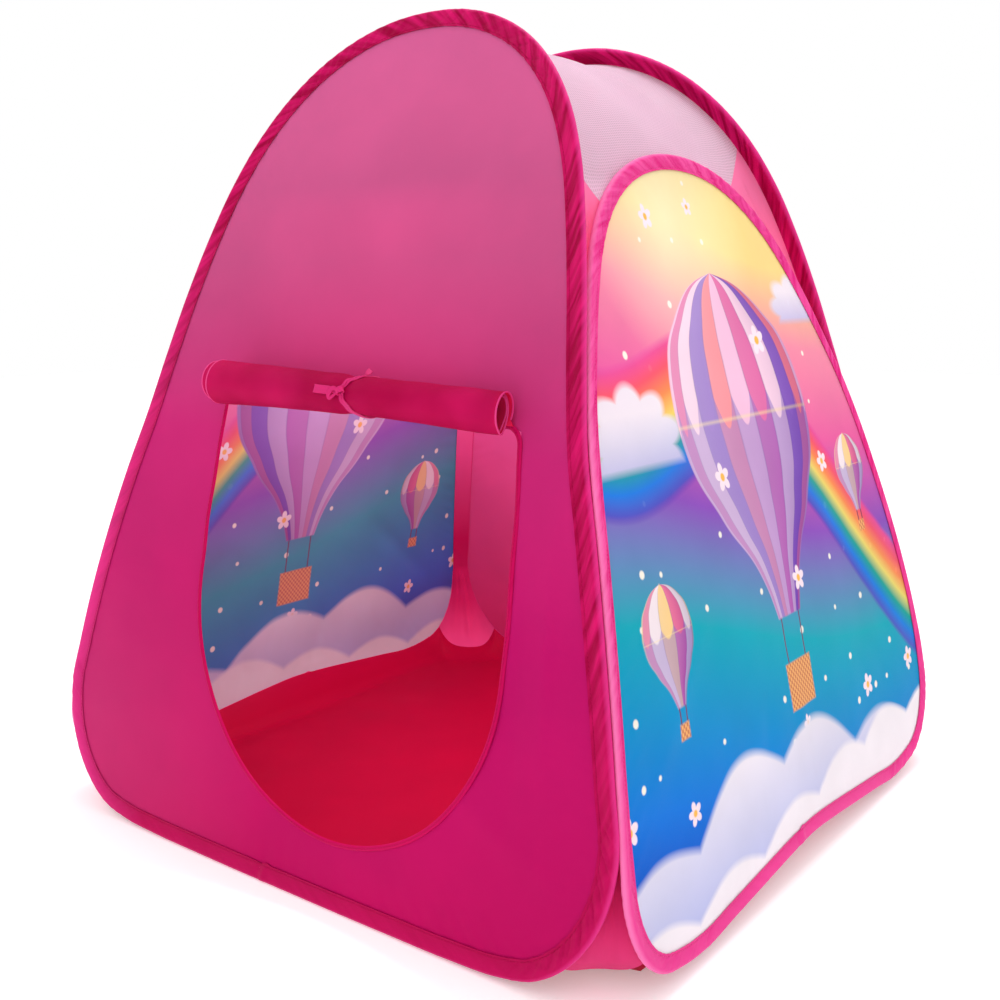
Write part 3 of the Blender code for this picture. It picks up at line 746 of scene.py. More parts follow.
def sleeve_narrowing(loop, along):
    """A side sleeve's width as a share of its full one: it is narrower where two walls stand together."""
    height = np.interp(along % loop.length, loop.table, loop.middle[:, 2])
    pulled = smooth_step(0.10, 0.22, height) * (1 - smooth_step(0.50, 0.66, height))
    return 1 - NARROW_SHARE * pulled * (loop.kind == "side")


def closing_tuck(loop, away):
    """A tuck with a lower one beside it, by distance from where the sleeve's ends meet at the ferrule."""
    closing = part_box(f"{loop.name}_ferrule")
    place = (np.array(closing[0]) + np.array(closing[1])) / 2 @ loop.turn
    away = away - loop.table[int(np.argmin(np.linalg.norm(loop.middle - place, axis=1)))]
    return np.exp(-(away / TUCK_WIDTH) ** 2) - 0.7 * np.exp(-((away - 2 * TUCK_WIDTH) / TUCK_WIDTH) ** 2)


def sleeve_points(loop, along, inward, outward, across, seed):
    """Points of a sleeve from its plain section: puckered at the bends, with a tuck where its ends meet."""
    reach = np.clip(inward / loop.sleeve, 0, 1)
    free = np.sin(math.pi * np.clip(reach * 1.04 + 0.06, 0, 1)) ** 0.8
    side = np.sign(outward)
    strength = pucker_strength(loop, along)
    front_waves, back_waves = (slanting_puckers(along, across * side, loop.length, seed + k) for k in (0, 1))
    waves = np.where(side > 0, front_waves, back_waves)
    tuck = closing_tuck(loop, along + 0.4 * inward)
    lifted = outward + side * free * (PUCKER_DEPTH * strength * (0.3 + waves) + TUCK_DEPTH * tuck)
    wander = (PUCKER_WANDER * front_waves * strength + TUCK_WANDER * tuck) * (reach > 0.99)
    inward = np.where(inward > 0, inward * sleeve_narrowing(loop, along), inward)
    return loop.place(np.broadcast_to(along, lifted.shape), inward + wander, lifted)


def build_sleeve(loop, seed):
    """A loop's sleeve."""
    inward, outward, across = sleeve_profile(loop.sleeve)
    along = np.arange(SLEEVE_STATIONS + 1) / SLEEVE_STATIONS * loop.length
    points = sleeve_points(loop, along[:-1][None], inward[:, None], outward[:, None], across[:, None], seed)
    sleeve = sheet_from_grid(f"{loop.name}_binding", points, across, along, [satins[loop.kind]], wrap=True)
    declare(sleeve, loop.name, f"{loop.name}_sleeve")
    print(sleeve.name, len(sleeve.data.polygons), "faces")


for seed, loop in enumerate(loops.values()):
    build_sleeve(loop, 10 * seed)

# %% [markdown]
# Each sleeve is sewn down with a row of stitches close to its lip. A stitch is a tiny spindle of thread,
# and thousands of them follow the seam, so they are made with Geometry Nodes: the seam's line becomes a
# curve, the curve is cut into even steps, and a spindle is set on each, turned along the line. The result
# is turned into one plain mesh per seam.

# %% Stitches
STITCH_PITCH = 0.0038
STITCH_LENGTH = 0.0027
THREAD_RADIUS = 0.00032
STITCH_SIDES = 6
STITCH_RINGS = 4
SEAM_POINTS = 900


def stitch_tree():
    """A Geometry Nodes tree that sets stitches along the edges of a mesh."""
    tree = bpy.data.node_groups.new("row_of_stitches", "GeometryNodeTree")
    given = {"Seam": "Geometry", "Pitch": "Float", "Stitch length": "Float", "Radius": "Float",
             "Thread": "Material"}
    for name, kind in given.items():
        tree.interface.new_socket(name=name, in_out="INPUT", socket_type=f"NodeSocket{kind}")
    tree.interface.new_socket(name="Stitches", in_out="OUTPUT", socket_type="NodeSocketGeometry")
    kinds = {"given": "NodeGroupInput", "result": "NodeGroupOutput", "curve": "GeometryNodeMeshToCurve",
             "steps": "GeometryNodeResampleCurve", "run": "GeometryNodeInputTangent",
             "turn": "FunctionNodeAlignRotationToVector", "ball": "GeometryNodeMeshUVSphere",
             "size": "ShaderNodeCombineXYZ", "half": "ShaderNodeMath", "spindle": "GeometryNodeTransform",
             "set": "GeometryNodeInstanceOnPoints", "real": "GeometryNodeRealizeInstances",
             "paint": "GeometryNodeSetMaterial"}
    nodes = {key: tree.nodes.new(kind) for key, kind in kinds.items()}
    nodes["steps"].mode = "LENGTH"
    nodes["turn"].axis = "X"
    nodes["half"].operation = "MULTIPLY"
    set_inputs(nodes["half"], {1: 0.5})
    set_inputs(nodes["ball"], {"Segments": STITCH_SIDES, "Rings": STITCH_RINGS})
    links = (("given", "Seam", "curve", "Mesh"), ("curve", "Curve", "steps", "Curve"),
             ("given", "Pitch", "steps", "Length"), ("run", "Tangent", "turn", "Vector"),
             ("given", "Stitch length", "half", 0), ("half", 0, "size", "X"),
             ("given", "Radius", "size", "Y"), ("given", "Radius", "size", "Z"),
             ("ball", "Mesh", "spindle", "Geometry"), ("size", "Vector", "spindle", "Scale"),
             ("steps", "Curve", "set", "Points"), ("spindle", "Geometry", "set", "Instance"),
             ("turn", "Rotation", "set", "Rotation"), ("set", "Instances", "real", "Geometry"),
             ("real", "Geometry", "paint", "Geometry"), ("given", "Thread", "paint", "Material"),
             ("paint", "Geometry", "result", "Stitches"))
    for source, output, target, socket in links:
        tree.links.new(nodes[source].outputs[output], nodes[target].inputs[socket])
    return tree


stitches = stitch_tree()


def sew(name, points, closed, thread, body):
    """A row of stitches along a line of points, as one plain mesh."""
    count = len(points)
    edges = [(k, (k + 1) % count) for k in range(count if closed else count - 1)]
    line = bpy.data.meshes.new(f"{name}_line")
    line.from_pydata(points.tolist(), edges, [])
    carrier = link_object(f"{name}_line", line)
    row = carrier.modifiers.new("stitches", "NODES")
    row.node_group = stitches
    values = {"Pitch": STITCH_PITCH, "Stitch length": STITCH_LENGTH, "Radius": THREAD_RADIUS,
              "Thread": thread}
    for item in stitches.interface.items_tree:
        if item.in_out == "INPUT" and item.name in values:
            row[item.identifier] = values[item.name]
    mesh = bpy.data.meshes.new_from_object(carrier.evaluated_get(bpy.context.evaluated_depsgraph_get()))
    mesh.polygons.foreach_set("use_smooth", [True] * len(mesh.polygons))
    bpy.data.objects.remove(carrier)
    declare(link_object(name, mesh), body)
    print(name, len(mesh.polygons) // (STITCH_SIDES * STITCH_RINGS), "stitches")


threads = {"end": satin_cloth("crimson_thread", (170, 0, 64), (206, 20, 92)),
           "side": satin_cloth("rose_thread", (236, 70, 150), (250, 110, 180))}
for seed, loop in enumerate(loops.values()):
    round_loop = np.linspace(0, loop.length, SEAM_POINTS, endpoint=False)
    even = np.ones(SEAM_POINTS)
    inward = loop.sleeve - SEAM_FROM_LIP
    outward = LIP_HALF + CLOTH / 2 - SEAM_GROOVE + THREAD_RADIUS / 2
    across = -(inward + math.pi * FOLD_RADIUS / 2)
    seam = sleeve_points(loop, round_loop, inward * even, outward * even, across * even, 10 * seed)
    sew(f"{loop.name}_seam_stitches", seam, True, threads[loop.kind], loop.name)

# %% [markdown]
# The walls are cut flat and sewn into their sleeves. Pulled tight by the wire, they still show where the
# cloth is uneven: a slight hollow in the middle, small tucks where the sleeve gathers the edge, and a few
# soft creases. Rings of points run from the loop to the middle, or to the door's edge, and each ring knows
# how far it is from the seam.

# %% Wall shapes
WALL_STATIONS = 400
WALL_RINGS = 54
EDGE_INSET = FOLD_RADIUS + 0.0008
WALL_HOLLOW = 0.0035
FRONT_HOLLOW = 0.0015
WALL_UNEVEN = ((0.0008, 0.21), (0.0003, 0.06))
GATHER_PITCH = 0.024
GATHER_DEPTH = 0.0007
GATHER_REACH = 0.030


def crease_height(x, z, creases):
    """Height of soft creases, each from one place on the wall to another with a depth and a width."""
    total = np.zeros_like(x)
    for x0, z0, x1, z1, depth, width in creases:
        run = np.array([x1 - x0, z1 - z0])
        t = np.clip(((x - x0) * run[0] + (z - z0) * run[1]) / (run @ run), 0, 1)
        away = np.hypot(x - x0 - t * run[0], z - z0 - t * run[1])
        total += depth * np.exp(-(away / width) ** 2) * np.sin(math.pi * (0.08 + 0.84 * t)) ** 0.7
    return total


def wall_relief(loop, x, z, from_seam, along, seed, creases, hollow):
    """How far the cloth stands out of its plain wall: hollow, gathers, unevenness and creases."""
    relief = crease_height(x, z, creases) - hollow * smooth_step(0.0, 0.20, from_seam)
    for k, (depth, scale) in enumerate(WALL_UNEVEN):
        relief += depth * soft_waves(x, z, scale, seed + k)
    count = round(loop.length / GATHER_PITCH)
    turn = 2 * math.pi * along / loop.length
    swell = 0.55 + 0.45 * np.sin(turn * 7 + seed) * np.sin(turn * 3 + 2 * seed)
    gathers = swell * np.sin(turn * count + 1.5 * np.sin(turn * 11 + seed))
    fade = smooth_step(0.0, 0.006, from_seam) * np.exp(-np.maximum(from_seam, 0) / GATHER_REACH)
    return relief * smooth_step(0.0, 0.05, from_seam) + GATHER_DEPTH * gathers * fade


def outline_area(outline):
    """Area inside a closed flat outline."""
    x, z = outline.T
    return abs(float(np.sum(x * np.roll(z, -1) - np.roll(x, -1) * z))) / 2


def towards_outline(edge, outline):
    """Where the line from each edge point to an outline's middle meets the outline."""
    middle = (outline.max(axis=0) + outline.min(axis=0)) / 2
    full = 2 * math.pi
    angle = np.arctan2(outline[:, 1] - middle[1], outline[:, 0] - middle[0]) % full
    order = np.argsort(angle)
    reach = np.linalg.norm(outline - middle, axis=1)
    wanted = np.arctan2(edge[:, 1] - middle[1], edge[:, 0] - middle[0]) % full
    radius = np.interp(wanted, angle[order], reach[order], period=full)
    return middle + radius[:, None] * np.stack([np.cos(wanted), np.sin(wanted)], axis=1)


def build_wall(name, loop, looks, seed, creases, hollow=WALL_HOLLOW, door=None):
    """A wall from inside its sleeve to its middle, or to the outline of its door."""
    along = np.arange(WALL_STATIONS) / WALL_STATIONS * loop.length
    edge = loop.local(along, EDGE_INSET)[:, (0, 2)]
    middle = (edge.max(axis=0) + edge.min(axis=0)) / 2
    run = (middle if door is None else towards_outline(edge, door)) - edge
    share = np.linspace(0, 1, WALL_RINGS)[:, None] ** 1.25
    flat = edge[None] + run[None] * share[..., None]
    from_seam = share * np.linalg.norm(run, axis=1)[None] - (loop.seam - EDGE_INSET)
    relief = wall_relief(loop, flat[..., 0], flat[..., 1], from_seam, along[None], seed, creases, hollow)
    points = (loop.lift(flat) + loop.outward(flat[..., 1]) * relief[..., None]) @ loop.turn.T
    rings = WALL_RINGS - 1 if door is None else WALL_RINGS
    corners, places = points[:rings].reshape(-1, 3), flat[:rings].reshape(-1, 2)
    faces = [face[::-1] for face in grid_corners(rings, WALL_STATIONS, True)[0]]
    area = outline_area(edge)
    if door is None:
        pole = len(corners)
        last = pole - WALL_STATIONS
        faces += [[pole, last + (k + 1) % WALL_STATIONS, last + k] for k in range(WALL_STATIONS)]
        corners, places = np.vstack([corners, points[-1].mean(axis=0)]), np.vstack([places, middle])
    else:
        area -= outline_area(door)
    wall = cloth_object(name, corners, faces, [places[face] for face in faces], looks)
    declare(wall, loop.name, f"{loop.name}_panel")


# %% Back wall
BACK_CREASES = (
    (-0.30, 0.10, -0.12, 0.24, 0.0024, 0.016),
    (0.30, 0.09, 0.10, 0.20, 0.0022, 0.016),
    (-0.02, 0.84, 0.01, 0.58, -0.0016, 0.020),
    (0.24, 0.45, 0.14, 0.62, 0.0016, 0.018),
    (-0.25, 0.42, -0.12, 0.50, 0.0018, 0.014),
)
build_wall("back_wall", loops["back"], [back_pink], 31, BACK_CREASES)

# %% [markdown]
# The doorway is straight along its top and its left side, and round at its foot, with its lowest place
# right of the middle. Its edge is worked out from the edging and the flap's seam that the frame holds. The
# front wall's rings end on that edge, and a narrow folded binding closes it.

# %% Front wall
DOOR_STEPS = 160
DOOR_LOWEST = 0.057
DOOR_WIDEST = {"right": 0.265, "left": 0.314}
DOOR_CORNER_PULL = 0.0185
piping_low, piping_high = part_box("door_piping")
DOOR_FOOT = piping_low.z - 0.0003
DOOR_RIGHT = piping_high.x
DOOR_LEFT = piping_low.x
flap_joint = next(joint for joint in frame["joints"] if joint["name"] == "flap_drop")
SEAM_PLACE = np.array(flap_joint["pos_m"])
SEAM_RUN = np.array(flap_joint["axis"])
SEAM_RISE = SEAM_RUN[2] / SEAM_RUN[0]
HEAD_RISE = 0.007
FRONT_CREASES = (
    (0.285, 0.46, 0.300, 0.20, 0.0016, 0.010),
    (0.262, 0.38, 0.272, 0.13, -0.0013, 0.011),
    (0.300, 0.60, 0.285, 0.48, 0.0012, 0.012),
    (-0.330, 0.115, -0.200, 0.165, 0.0019, 0.016),
    (-0.350, 0.230, -0.235, 0.205, 0.0012, 0.016),
    (0.330, 0.105, 0.215, 0.150, 0.0018, 0.014),
    (-0.200, 0.62, -0.262, 0.46, 0.0010, 0.016),
)


def door_head(x):
    """Height of the doorway's top edge, behind the roll, parallel to the flap's seam."""
    return SEAM_PLACE[2] + HEAD_RISE + SEAM_RISE * (x - SEAM_PLACE[0])


def right_edge(t):
    """The doorway's right side from its widest place (0) to its top (1)."""
    x = DOOR_RIGHT - DOOR_CORNER_PULL * t**2
    return np.stack([x, DOOR_WIDEST["right"] + (door_head(x) - DOOR_WIDEST["right"]) * t], axis=-1)


def door_outline(steps=DOOR_STEPS):
    """The door's edge on the flat wall, from its right side round the foot, up the left and over the top."""
    foot = []
    turns = (np.linspace(0, math.pi / 2, steps), np.linspace(math.pi / 2, math.pi, steps)[1:])
    for side, limit, turn in zip(("right", "left"), (DOOR_RIGHT, DOOR_LEFT), turns):
        widest = DOOR_WIDEST[side]
        height = widest - (widest - DOOR_FOOT) * np.sin(turn)
        foot.append(np.stack([DOOR_LOWEST + abs(limit - DOOR_LOWEST) * np.cos(turn), height], axis=1))
    t = np.arange(1, steps + 1)[:, None] / steps
    left = foot[1][-1] * (1 - t) + np.array([DOOR_LEFT, door_head(DOOR_LEFT)]) * t
    right = right_edge(np.arange(steps, 0, -1) / steps)
    across = np.linspace(DOOR_LEFT, right[0, 0], steps)[1:-1]
    return np.vstack([*foot, left, np.stack([across, door_head(across)], axis=1), right])


build_wall("front_wall", loops["front"], [front_pink], 5, FRONT_CREASES, FRONT_HOLLOW, door_outline())

# %% [markdown]
# The printed walls carry a picture. It is painted here from plain shapes on the wall's own map in metres: a
# sky that goes from cream and rose down to teal and blue, a striped wave, clouds with round lobes, balloons
# with gores, and small flowers and dots that a cell pattern strews. Each shape is a mask with a soft edge,
# laid over what is below.

# %% The printed picture
PRINT_EDGE = 0.0012
FINE_EDGE = 0.0008
CLOUD_EDGE = 0.004
PRINT_HEIGHT = 0.75
CREAM = (250, 226, 150)
ROSE = (247, 150, 176)
PINK = (240, 100, 170)
VIOLET = (150, 84, 196)
TEAL = (0, 176, 194)
SKY = (0, 124, 226)
DEEP = (0, 56, 196)
CLOUD = (244, 238, 246)
CLOUD_SHADE = (206, 200, 236)
BANK_SHADE = (190, 196, 240)
NEAR_CLOUD = (252, 246, 250)
SUNLIGHT = (255, 246, 210)
DOT_WHITE = (255, 250, 236)
PETAL = (255, 236, 244)
PETAL_EYE = (255, 196, 90)
GORE_SEAM = (110, 40, 130)
SKIRT_VIOLET = (120, 60, 190)
BAND_CREAM = (255, 232, 150)
LIT_SIDE = (255, 245, 250)
DARK_SIDE = (90, 30, 140)
ROPE = (120, 60, 90)
STRAW = ((214, 130, 90), (250, 190, 120))
INNER_GREY = (140, 110, 150)
SKY_STOPS = ((0.0, DEEP), (0.12, SKY), (0.34, TEAL), (0.50, VIOLET), (0.64, PINK), (0.78, ROSE),
             (0.90, CREAM), (1.0, CREAM))
WAVE_STOPS = ((0.0, (94, 62, 190)), (0.18, (0, 130, 230)), (0.34, (0, 172, 150)), (0.50, (246, 226, 110)),
              (0.66, (255, 150, 80)), (0.82, (250, 92, 110)), (1.0, (236, 80, 170)))
GORE_STOPS = ((0.0, (246, 190, 222)), (0.2, (226, 70, 160)), (0.4, (250, 214, 232)), (0.6, (132, 70, 196)),
              (0.8, (250, 120, 130)))
SMALL_GORE_STOPS = ((0.0, (255, 214, 120)), (0.34, (232, 70, 140)), (0.67, (250, 236, 240)))
BALLOON_SHAPE = ((0.0, 0.16), (0.14, 0.30), (0.34, 0.70), (0.56, 0.98), (0.72, 0.94), (0.88, 0.66),
                 (1.0, 0.0))
BALLOON_FOOT = -1.4
BASKET_TOP = -1.72
BASKET_FOOT = -2.05
BASKET_HALF = 0.20
ROPE_PLACE = 0.14
ROPE_HALF = 0.0011
PLAITS = 900.0


class Picture(Nodes):
    """Lays shapes over each other on the wall's map."""

    def __init__(self, name):
        super().__init__(name)
        self.x, self.z, _ = self.split(self.cloth_map())
        self.colour = None

    def over(self, colour, mask):
        """Lay a colour where the mask is 1."""
        self.colour = self.mix(mask, self.colour, colour)

    def inside(self, distance, edge=PRINT_EDGE):
        """A mask that is 1 where a signed distance is below zero."""
        return self.span(distance, -edge, edge, 1.0, 0.0)

    def polar(self, x, z):
        """Distance and angle from the place at zero."""
        return self.math("SQRT", x * x + z * z), self.math("ARCTAN2", z, x)

    def lobed_cloud(self, x, z, width, height, lobes):
        """A cloud: an oval whose edge swells into round lobes, flat under its foot."""
        dx = (self.x - x) / width
        dz = (self.z - z) / height
        reach, angle = self.polar(dx, dz)
        rim = self.line(abs(self.sine(angle, lobes / 2, x * 40)), 0.22, 0.80)
        shape = self.inside(self.most((reach - rim) * height, (dz + 0.45) * -height), CLOUD_EDGE)
        self.over(self.mix(self.span(dz, -0.5, 0.5), CLOUD_SHADE, CLOUD), shape * 0.96)

    def cloud_bank(self, colour, puff, drift, middle, edge):
        """Clouds along the wall's foot: puffs on a drift, each by turns to the metre, phase and height."""
        low = self.line(self.sine(self.x, *drift[:2]), drift[2], middle)
        top = self.line(abs(self.sine(self.x, *puff[:2])), puff[2], low)
        self.over(colour, self.inside(self.z - top, edge))

    def curve(self, value, shape):
        """A value by a smooth curve through (place, height) points."""
        node = self.add("ShaderNodeFloatCurve", {"Value": value})
        points = node.mapping.curves[0].points
        while len(points) < len(shape):
            points.new(0.5, 0.5)
        for point, place in zip(points, shape):
            point.location = place
        node.mapping.update()
        return Value(self, node.outputs["Value"])

    def gored_cloth(self, dz, side, height, radius, gores, stops):
        """A balloon's colour: striped gores, seams, a scalloped skirt, a band, a lit side and a dark one."""
        around = self.math("ARCSINE", self.math("MINIMUM", self.most(side, -0.999), 0.999))
        gore = self.line(around, gores / math.pi, 0.5)
        step = self.math("FRACT", self.math("FLOOR", gore) / float(len(stops)))
        stripe = self.ramp(step + 0.02, stops, "CONSTANT")
        seam = abs(self.math("FRACT", gore) - 0.5)
        stripe = self.mix(self.span(seam, 0.44, 0.5, 0.0, 0.45), stripe, GORE_SEAM)
        scallop = self.line(abs(self.sine(gore, math.pi)), 0.22 * radius, -0.16 * radius)
        cloth = self.mix(self.inside(dz + scallop), stripe, self.mix(0.55, stripe, SKIRT_VIOLET))
        cloth = self.mix(self.inside(abs(dz), 0.02 * radius), cloth, BAND_CREAM)
        cloth = self.mix(self.span(side + height * -0.6, -1.1, 0.9, 0.30, 0.0), cloth, LIT_SIDE)
        return self.mix(self.span(side, 0.35, 1.0, 0.0, 0.35), cloth, DARK_SIDE)

    def balloon(self, x, z, radius, gores, stops):
        """A hot air balloon over its ropes and its plaited basket."""
        dx = self.x - x
        dz = self.z - z
        height = self.span(dz, -1.45 * radius, radius)
        half = self.most(self.curve(height, BALLOON_SHAPE) * radius, 0.0005)
        cloth = self.gored_cloth(dz, dx / half, height, radius, gores, stops)
        rope = abs(abs(dx) - ROPE_PLACE * radius) - ROPE_HALF
        rope = self.most(rope, dz + 1.38 * radius, BASKET_TOP * radius - dz)
        self.over(ROPE, self.inside(rope, FINE_EDGE))
        plait = self.sine(dx, PLAITS) * self.sine(dz, PLAITS)
        basket = self.most(abs(dx) - BASKET_HALF * radius, dz - BASKET_TOP * radius,
                           BASKET_FOOT * radius - dz)
        self.over(self.mix(self.span(plait, -0.4, 0.4), *STRAW), self.inside(basket))
        self.over(cloth, self.inside(self.most(abs(dx) - half, dz - radius, BALLOON_FOOT * radius - dz)))

    def strewn(self, scale, size, colour, petals, chance, eye=None):
        """Small motifs strewn by a cell pattern: flowers with petals, or round dots with none."""
        pattern = {"Vector": self.cloth_map(), "Scale": scale, "Randomness": 0.7}
        cells = self.add("ShaderNodeTexVoronoi", pattern, voronoi_dimensions="2D")
        place, tint = (Value(self, cells.outputs[key]) for key in ("Position", "Color"))
        away = self.value("ShaderNodeVectorMath", 0, {0: self.cloth_map(), 1: place}, operation="SUBTRACT")
        dx, dz, _ = self.split(away)
        reach, angle = self.polar(dx, dz)
        first, second, _ = self.split(tint)
        wide = self.span(first, 0.0, 1.0, 0.55 * size, size)
        rim = wide
        if petals:
            rim = wide * self.line(abs(self.sine(angle + second, petals / 2)), 0.5, 0.5)
        shown = self.math("LESS_THAN", second, chance)
        self.over(colour, self.inside(reach - rim, FINE_EDGE) * shown)
        if eye:
            self.over(eye, self.inside(reach - wide * 0.28, FINE_EDGE) * shown)


def printed_cloth(name, inner):
    """The printed wall's cloth; seen from inside, the picture is paler and duller."""
    art = Picture(name)
    sky = art.line(art.sine(art.x, 7.0, 0.6), 0.02, art.line(art.x, 0.16, art.z))
    art.colour = art.ramp(sky / PRINT_HEIGHT, SKY_STOPS)
    glow, _ = art.polar(art.x + 0.05, art.z - 0.68)
    art.over(SUNLIGHT, art.span(glow, 0.0, 0.17, 0.75, 0.0))
    art.strewn(17.0, 0.0042, DOT_WHITE, 0, 0.5)
    rise = art.line(art.sine(art.x, 9.0, 1.3), 0.075, 0.36)
    wave = (art.z - art.line(art.x, -0.42, rise)) / 0.135
    art.over(art.ramp(wave, WAVE_STOPS), art.span(abs(wave - 0.5) - 0.5, -0.05, 0.02, 1.0, 0.0) * 0.95)
    art.lobed_cloud(-0.215, 0.47, 0.085, 0.052, 9)
    art.lobed_cloud(0.20, 0.585, 0.060, 0.036, 8)
    art.balloon(0.015, 0.475, 0.150, 11, GORE_STOPS)
    art.balloon(-0.235, 0.300, 0.046, 6, SMALL_GORE_STOPS)
    art.balloon(0.245, 0.395, 0.038, 6, SMALL_GORE_STOPS)
    art.strewn(7.5, 0.017, PETAL, 5, 0.34, PETAL_EYE)
    far = art.mix(art.span(art.z, 0.03, 0.15), BANK_SHADE, CLOUD)
    art.cloud_bank(far, (17.0, 0.9, 0.034), (8.5, 2.2, 0.030), 0.098, 0.005)
    art.cloud_bank(NEAR_CLOUD, (23.0, 2.6, 0.022), (6.0, 0.2, 0.022), 0.060, CLOUD_EDGE)
    if inner:
        art.colour = art.mix(0.34, art.colour, INNER_GREY)
    return finish_cloth(art, art.colour, roughness=0.55, through=0.24, crush=0.0005)


printed_faces = [printed_cloth("printed_cloth_outside", False), printed_cloth("printed_cloth_inside", True)]
print("print nodes", len(printed_faces[0].node_tree.nodes))

# %% Side walls
SIDE_CREASES = {
    "right": ((-0.30, 0.18, -0.16, 0.30, 0.0016, 0.014), (0.30, 0.16, 0.14, 0.24, 0.0018, 0.016),
              (0.02, 0.06, 0.00, 0.20, 0.0014, 0.012), (-0.10, 0.07, -0.07, 0.19, -0.0010, 0.012),
              (0.22, 0.50, 0.12, 0.60, 0.0012, 0.014)),
    "left": ((-0.28, 0.15, -0.14, 0.26, 0.0018, 0.015), (0.26, 0.12, 0.16, 0.26, 0.0020, 0.014),
             (0.05, 0.05, 0.05, 0.18, 0.0014, 0.010), (0.10, 0.05, 0.11, 0.17, 0.0013, 0.010),
             (-0.04, 0.05, -0.05, 0.16, 0.0012, 0.010)),
}
for seed, (name, creases) in enumerate(SIDE_CREASES.items()):
    build_wall(f"{name}_printed_wall", loops[name], printed_faces, 50 + seed, creases)

# %% [markdown]
# A sweep carries a section along a path. It makes the door's binding, the hems and the ribbon. Its map runs
# along the path in metres, so that the weave keeps its size.

# %% Sweep a section along a path
def oval(half_wide, half_high, sides):
    """Points of an oval section: across and up."""
    turn = np.arange(sides) / sides * 2 * math.pi
    return np.stack([half_wide * np.cos(turn), half_high * np.sin(turn)], axis=1)


def sweep(name, path, normals, section, look, around=None, wide=1.0, high=1.0, cap_scale=1.0):
    """A closed tube along an open path, capped at both ends; the section may be stretched across and up."""
    path, normals = np.asarray(path, float), np.asarray(normals, float)
    count = len(section)
    if around is None:
        around = np.arange(count + 1) * float(np.abs(section).max()) * 2 * math.pi / count
    run = unit(np.gradient(path, axis=0))
    side = unit(np.cross(run, normals))
    up = unit(np.cross(side, run))
    stretch = np.broadcast_to(wide, len(path))[:, None, None]
    points = path[:, None] + section[None, :, 0, None] * side[:, None] * stretch
    points = points + section[None, :, 1, None] * up[:, None] * high
    along = distance_along(path)
    faces, corner_rows, corner_columns = grid_corners(len(path), count, True)
    corner_map = [np.stack([along[r], around[c]], axis=-1) for r, c in zip(corner_rows, corner_columns)]
    last = (len(path) - 1) * count
    caps = [list(range(count))[::-1], list(range(last, last + count))]
    corner_map += [section * cap_scale] * 2
    made = mesh_object(name, points.reshape(-1, 3), [*faces, *caps], corner_map, [look])
    point_outwards(made)
    return made


def point_outwards(item):
    """Turn a closed mesh's faces out."""
    work = bmesh.new()
    work.from_mesh(item.data)
    bmesh.ops.recalc_face_normals(work, faces=work.faces)
    work.to_mesh(item.data)
    work.free()


# %% Door binding
BINDING_HALF = 0.0027
BINDING_HALF_THICK = 0.0013
BINDING_STEPS = 90
BINDING_TOP_SHARE = 0.93
BINDING_INSET = 0.0006
BINDING_WANDER = 0.0004
BINDING_DRIFT = 0.0003
BINDING_RISE = 0.0003
CURL_LENGTH = 0.030
CURL_DROP = 0.001
CURL_CORNER = (-0.0015, 0.005)
CURL_STEPS = 14
# The binding uses the sleeves' satin, with its stripes of painted light and shade and its painted shade by
# the seam; its painted highlight colour is the same as its bright one.
crimson_binding = sleeve_satin("crimson_binding", (176, 0, 70), (206, 10, 92), (206, 10, 92), (196, 6, 84))


def binding_line():
    """The strip's line on the flat wall: down the left, round the foot, up the right, behind the roll."""
    outline = door_outline(BINDING_STEPS)
    foot_and_left = outline[:3 * BINDING_STEPS - 1]
    rise = outline[-BINDING_STEPS:][::-1][:int(BINDING_STEPS * BINDING_TOP_SHARE)]
    start = rise[-1]
    corner = np.array([start[0] + CURL_CORNER[0], door_head(start[0]) + CURL_CORNER[1]])
    end = corner - (CURL_LENGTH, -CURL_DROP)
    t = np.linspace(0, 1, CURL_STEPS)[1:, None]
    curl = start * (1 - t) ** 2 + corner * 2 * t * (1 - t) + end * t**2
    return np.vstack([foot_and_left[::-1], rise[1:], curl])


def build_door_binding(loop):
    """The folded strip along the door's edge, from behind the roll's left end round to its right end."""
    kept = binding_line()
    normals = loop.outward(kept[:, 1])
    path = loop.lift(kept)
    inner = unit(np.cross(normals, unit(np.gradient(path, axis=0))))
    along = np.linspace(0, 1, len(path))
    wander = BINDING_INSET + BINDING_WANDER * np.sin(along * 61) + BINDING_DRIFT * np.sin(along * 23 + 1)
    path = path + inner * wander[:, None] + normals * (BINDING_RISE * np.sin(along * 47))[:, None]
    section = oval(BINDING_HALF, BINDING_HALF_THICK, 12)
    binding = sweep("door_binding", path, normals, section, crimson_binding)
    declare(binding, "front", "door_piping")
    print("door binding", round(float(distance_along(path)[-1]), 3), "m long")
    line = path + normals * BINDING_HALF_THICK
    sew("door_binding_stitches", line, False, threads["end"], "front")


build_door_binding(loops["front"])

# %% [markdown]
# The door's flap is rolled up over the doorway. A roll is one flat sheet wound on itself, so it is made as
# the sheet: distance down the flap sets the turn, and the flap's cut sets how far each turn reaches to the
# sides. The ribbon draws it in, its free end hangs to a soft point, and the layers stand a little apart.

